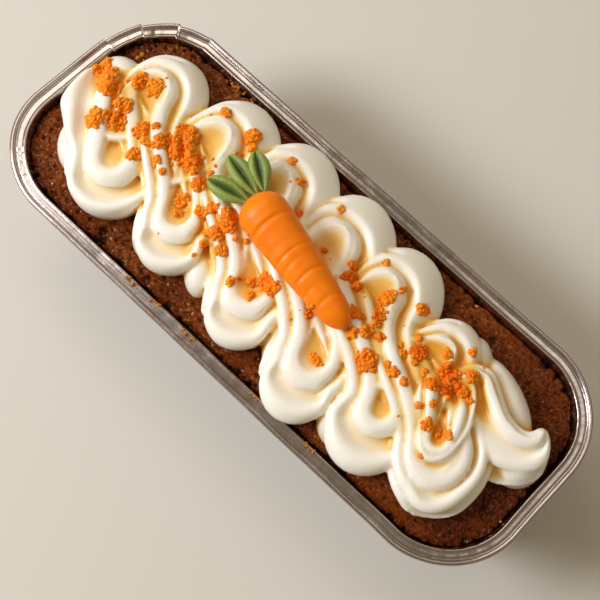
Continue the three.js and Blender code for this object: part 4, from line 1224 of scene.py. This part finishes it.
def whipped_cream_cheese():
    """Cream cheese and butter, whipped, with painted shade: white on the crests, and buttery yellow
    painted in the grooves and hollows, where less light reaches and light passes through more of
    it. Round the crumbs the yellow is deeper, partly from their syrup and partly painted shade."""
    material, tree, place = started("whipped_cream_cheese")
    hollow, crease, stain = (
        add(tree, "Attribute", {"attribute_name": name}).outputs["Fac"]
        for name in ("hollow", "crease", "stain")
    )
    # Depth in the grooves and hollows sets the painted shade. Round the crumbs and in the hollows of
    # the turns it is deepened, partly by syrup and partly as painted shade.
    broad = add(tree, "MapRange", {"From Min": -1.0, "From Max": 3.6}, {"Value": hollow})
    fine = add(tree, "MapRange", {"From Min": -0.3, "From Max": 0.9}, {"Value": crease})
    broad = add(tree, "Math", {"operation": "MULTIPLY", 1: 0.65}, {0: broad})
    depth = add(tree, "Math", {"operation": "MULTIPLY_ADD", 1: 0.42}, {0: fine, 2: broad})
    stronger = add(tree, "Math", {"operation": "MULTIPLY_ADD", 1: 0.5, 2: 0.92}, {0: stain})
    syrup = add(tree, "Math", {"operation": "MULTIPLY", 1: 0.1}, {0: stain})
    depth = add(tree, "Math", {"operation": "MULTIPLY_ADD"}, {0: depth, 1: stronger, 2: syrup})
    # Painted shade: from white on the crests to buttery yellow in the deepest grooves and hollows.
    tint = add(tree, "ValToRGB", {"stops": [
        (0.18, "#f9f5ee"), (0.4, "#f5e5c2"), (0.6, "#edc66e"), (0.95, "#e6a434"),
    ]}, {"Fac": depth})
    # Its air bubbles are under 0.2 mm wide. They are drawn 0.8 mm wide, to show at all.
    grain = {"Scale": 1 / (0.8 * MM), "Detail": 3}
    finished(tree, {
        "Roughness": 0.36,
        "Subsurface Weight": 0.5,
        "Subsurface Radius": (1.0, 0.78, 0.4),
        "Subsurface Scale": 0.004,
    }, {"Base Color": tint}, add(tree, "TexNoise", grain, {"Vector": place}), 0.02)
    return material


def household_foil():
    """Thin rolled aluminium, pressed: bright on its folds, dull grey-brown where it
    mirrors the dark cake, with soft patches of duller metal and small scuffs."""
    material, tree, place = started("pressed_household_foil")
    # The mill's lines are far too fine to show, so scuffs and waves are a few mm wide.
    patches, scuffs, waves = (
        add(tree, "TexNoise", {"Scale": 1 / (size * MM), "Detail": detail}, {"Vector": place})
        for size, detail in ((9, 3), (3, 3), (2.4, 2))
    )
    tint = add(tree, "ValToRGB", {"stops": [(0.3, "#aea5a6"), (0.7, "#beb5b5")]}, {"Fac": patches})
    rough = add(tree, "MapRange", {
        "From Min": 0.3, "From Max": 0.7, "To Min": 0.18, "To Max": 0.28,
    }, {"Value": scuffs})
    finished(tree, {"Metallic": 1.0}, {"Base Color": tint, "Roughness": rough}, waves, 0.03)
    return material


def moist_carrot_sponge():
    """Baked brown sugar sponge, with painted shade: dark in the pits and lighter, redder on the
    lumps above them, and a film of syrup that glints on the lumps."""
    material, tree, place = started("moist_carrot_sponge")
    # Crumbs, the film of syrup and the pores in it are drawn at about their real size.
    speckle, film, crumb = (
        add(tree, "TexNoise", {"Scale": 1 / (size * MM), "Detail": detail, "Roughness": rough},
            {"Vector": place})
        for size, detail, rough in ((0.7, 3, 0.6), (0.8, 2, 0.5), (0.45, 4, 0.65))
    )
    height = add(tree, "Attribute", {"attribute_name": "crumb_height"}).outputs["Fac"]
    height = add(tree, "MapRange", {"From Min": -1.6, "From Max": 0.7}, {"Value": height})
    speckle = add(tree, "Math", {"operation": "MULTIPLY", 1: 0.65}, {0: speckle})
    level = add(tree, "Math", {"operation": "MULTIPLY_ADD", 1: 0.6}, {0: height, 2: speckle})
    # Painted shade: low places of the crumb darker, high lumps lighter.
    tint = add(tree, "ValToRGB", {"stops": [
        (0.3, "#1a0600"), (0.52, "#481801"), (0.75, "#7c3a0a"), (0.98, "#c8863a"),
    ]}, {"Fac": level})
    syrup = add(tree, "MapRange", {"From Min": 0.5, "From Max": 0.7}, {"Value": film})
    finished(tree, {
        "Roughness": 0.55,
        "Specular IOR Level": 0.06,
        "Coat Roughness": 0.2,
    }, {"Base Color": tint, "Coat Weight": syrup}, crumb, 0.4)
    return material


def orange_sugar_paste():
    """Moulded sugar paste, coloured through, with a soft skin that scatters light."""
    material, tree, place = started("moulded_orange_sugar_paste")
    # Powdered sugar has grains of 0.05 mm. They are drawn 0.5 mm wide, to show at all.
    clouds, grain = (
        add(tree, "TexNoise", {"Scale": 1 / (size * MM), "Detail": detail}, {"Vector": place})
        for size, detail in ((4, 2), (0.5, 3))
    )
    tint = add(tree, "ValToRGB", {"stops": [(0.3, "#f97e02"), (0.7, "#ff8a06")]}, {"Fac": clouds})
    finished(tree, {
        "Roughness": 0.4,
        "Specular IOR Level": 0.28,
        "Subsurface Weight": 0.3,
        "Subsurface Radius": (1.0, 0.4, 0.1),
        "Subsurface Scale": 0.0015,
    }, {"Base Color": tint}, grain, 0.02)
    return material


def green_sugar_paste():
    """Green sugar paste, with painted shade: darker in the leaf's groove."""
    material, tree, place = started("moulded_green_sugar_paste")
    # Powdered sugar, drawn 0.6 mm wide as in the orange paste.
    grain = add(tree, "TexNoise", {"Scale": 1 / (0.6 * MM), "Detail": 3}, {"Vector": place})
    hollow = add(tree, "Attribute", {"attribute_name": "hollow"}).outputs["Fac"]
    depth = add(tree, "MapRange", {"From Min": 0.1, "From Max": 1.8}, {"Value": hollow})
    depth = add(tree, "Math", {"operation": "MULTIPLY_ADD", 1: 0.25}, {0: grain, 2: depth})
    # Painted shade: the deeper in the groove, the darker the green.
    tint = add(tree, "ValToRGB", {"stops": [
        (0.05, "#94a650"), (0.35, "#647c2c"), (1.0, "#2a400c"),
    ]}, {"Fac": depth})
    finished(tree, {"Roughness": 0.4, "Specular IOR Level": 0.5}, {"Base Color": tint}, grain, 0.2)
    return material


def candied_crumb():
    """Carrot shreds boiled in syrup, dried and broken: glassy orange, painted redder and darker
    inside the heaps for light that passes through several crumbs."""
    material, tree, place = started("candied_carrot_crumb")
    # Sugar crystals are about 0.1 mm wide. They are drawn 0.3 mm wide, to show at all.
    clouds, grain = (
        add(tree, "TexNoise", {"Scale": 1 / (size * MM), "Detail": 3}, {"Vector": place})
        for size in (0.5, 0.3)
    )
    shade = add(tree, "Attribute", {"attribute_name": "shade"}).outputs["Fac"]
    shade = add(tree, "Math", {"operation": "MULTIPLY", 1: 0.8}, {0: shade})
    level = add(tree, "Math", {"operation": "MULTIPLY_ADD", 1: 0.3}, {0: clouds, 2: shade})
    # Painted shade: the more shade, the redder and darker the orange.
    tint = add(tree, "ValToRGB", {"stops": [
        (0.1, "#ffa22a"), (0.45, "#ff8c0c"), (0.8, "#f87202"), (1.0, "#d85600"),
    ]}, {"Fac": level})
    finished(tree, {
        "Roughness": 0.4,
        "Specular IOR Level": 0.25,
        "Subsurface Weight": 0.25,
        "Subsurface Radius": (1.0, 0.45, 0.1),
        "Subsurface Scale": 0.0008,
    }, {"Base Color": tint}, grain, 0.1)
    return material


def pale_paper():
    """Matt pale paper under the object."""
    material, tree, _ = started("pale_paper")
    finished(tree, {"Base Color": colour("#d8d6d2"), "Roughness": 0.8}, {})
    return material


def dressed(piece, material):
    """Gives a piece its one material."""
    piece.data.materials.clear()
    piece.data.materials.append(material)


dressed(ICING, whipped_cream_cheese())
dressed(TIN, household_foil())
sponge = moist_carrot_sponge()
dressed(CAKE, sponge)
dressed(SPECKS, sponge)
dressed(CARROT, orange_sugar_paste())
dressed(CRUMBS, candied_crumb())
green = green_sugar_paste()
for leaf in LEAF_PIECES:
    dressed(leaf, green)

# ---------------------------------------------------------------- camera and lights


def camera():
    """A camera at the eye point that looks at the middle of the picture."""
    data = bpy.data.cameras.new("camera")
    data.sensor_width = SENSOR
    data.lens = SENSOR * FOCAL_LENGTH / PICTURE_SIDE
    data.clip_start = 0.01
    holder = bpy.data.objects.new("camera", data)
    bpy.context.scene.collection.objects.link(holder)
    eye = to_frame(eye_point())
    aim = to_frame((*turned(VIEW_SHIFT), 0))
    forward = Vector(aim - eye).normalized()
    up_flat = turned((0, math.cos(VIEW_TILT)))
    up = Vector((*up_flat, math.sin(VIEW_TILT)))
    right = forward.cross(up).normalized()
    up = right.cross(forward)
    holder.matrix_world = Matrix((
        (right.x, up.x, -forward.x, eye[0]),
        (right.y, up.y, -forward.y, eye[1]),
        (right.z, up.z, -forward.z, eye[2]),
        (0, 0, 0, 1),
    ))
    bpy.context.scene.camera = holder


def soft_light(name, place, power, size, tint):
    """A square lamp that faces the cake. Place and size are in metres."""
    data = bpy.data.lights.new(name, "AREA")
    data.energy = power
    data.size = size
    data.color = colour(tint)[:3]
    lamp = bpy.data.objects.new(name, data)
    bpy.context.scene.collection.objects.link(lamp)
    lamp.location = place
    aim = Vector((0, 0, 0.05)) - Vector(place)
    lamp.rotation_euler = aim.to_track_quat("-Z", "Y").to_euler()


camera()
soft_light("key", (-0.69, -0.57, 0.78), 10.6, 0.4, "#ffffff")
soft_light("fill", (-0.40, 0.14, 0.62), 1.2, 0.4, "#fff4e4")
soft_light("card", (0.11, 0.22, 0.70), 0.25, 0.24, "#fff4ea")
world = bpy.data.worlds.new("studio")
bpy.context.scene.world = world
world.use_nodes = True
background = world.node_tree.nodes["Background"]
background.inputs["Color"].default_value = colour("#edd6ac")
background.inputs["Strength"].default_value = 0.33
bpy.context.scene.view_settings.view_transform = "Standard"

FLOOR_REACH = 3.0
corners = FLOOR_REACH * np.array([(-1, -1, 0), (1, -1, 0), (1, 1, 0), (-1, 1, 0)])
floor = mesh_piece("floor", corners, [(0, 1, 2, 3)])
dressed(floor, pale_paper())
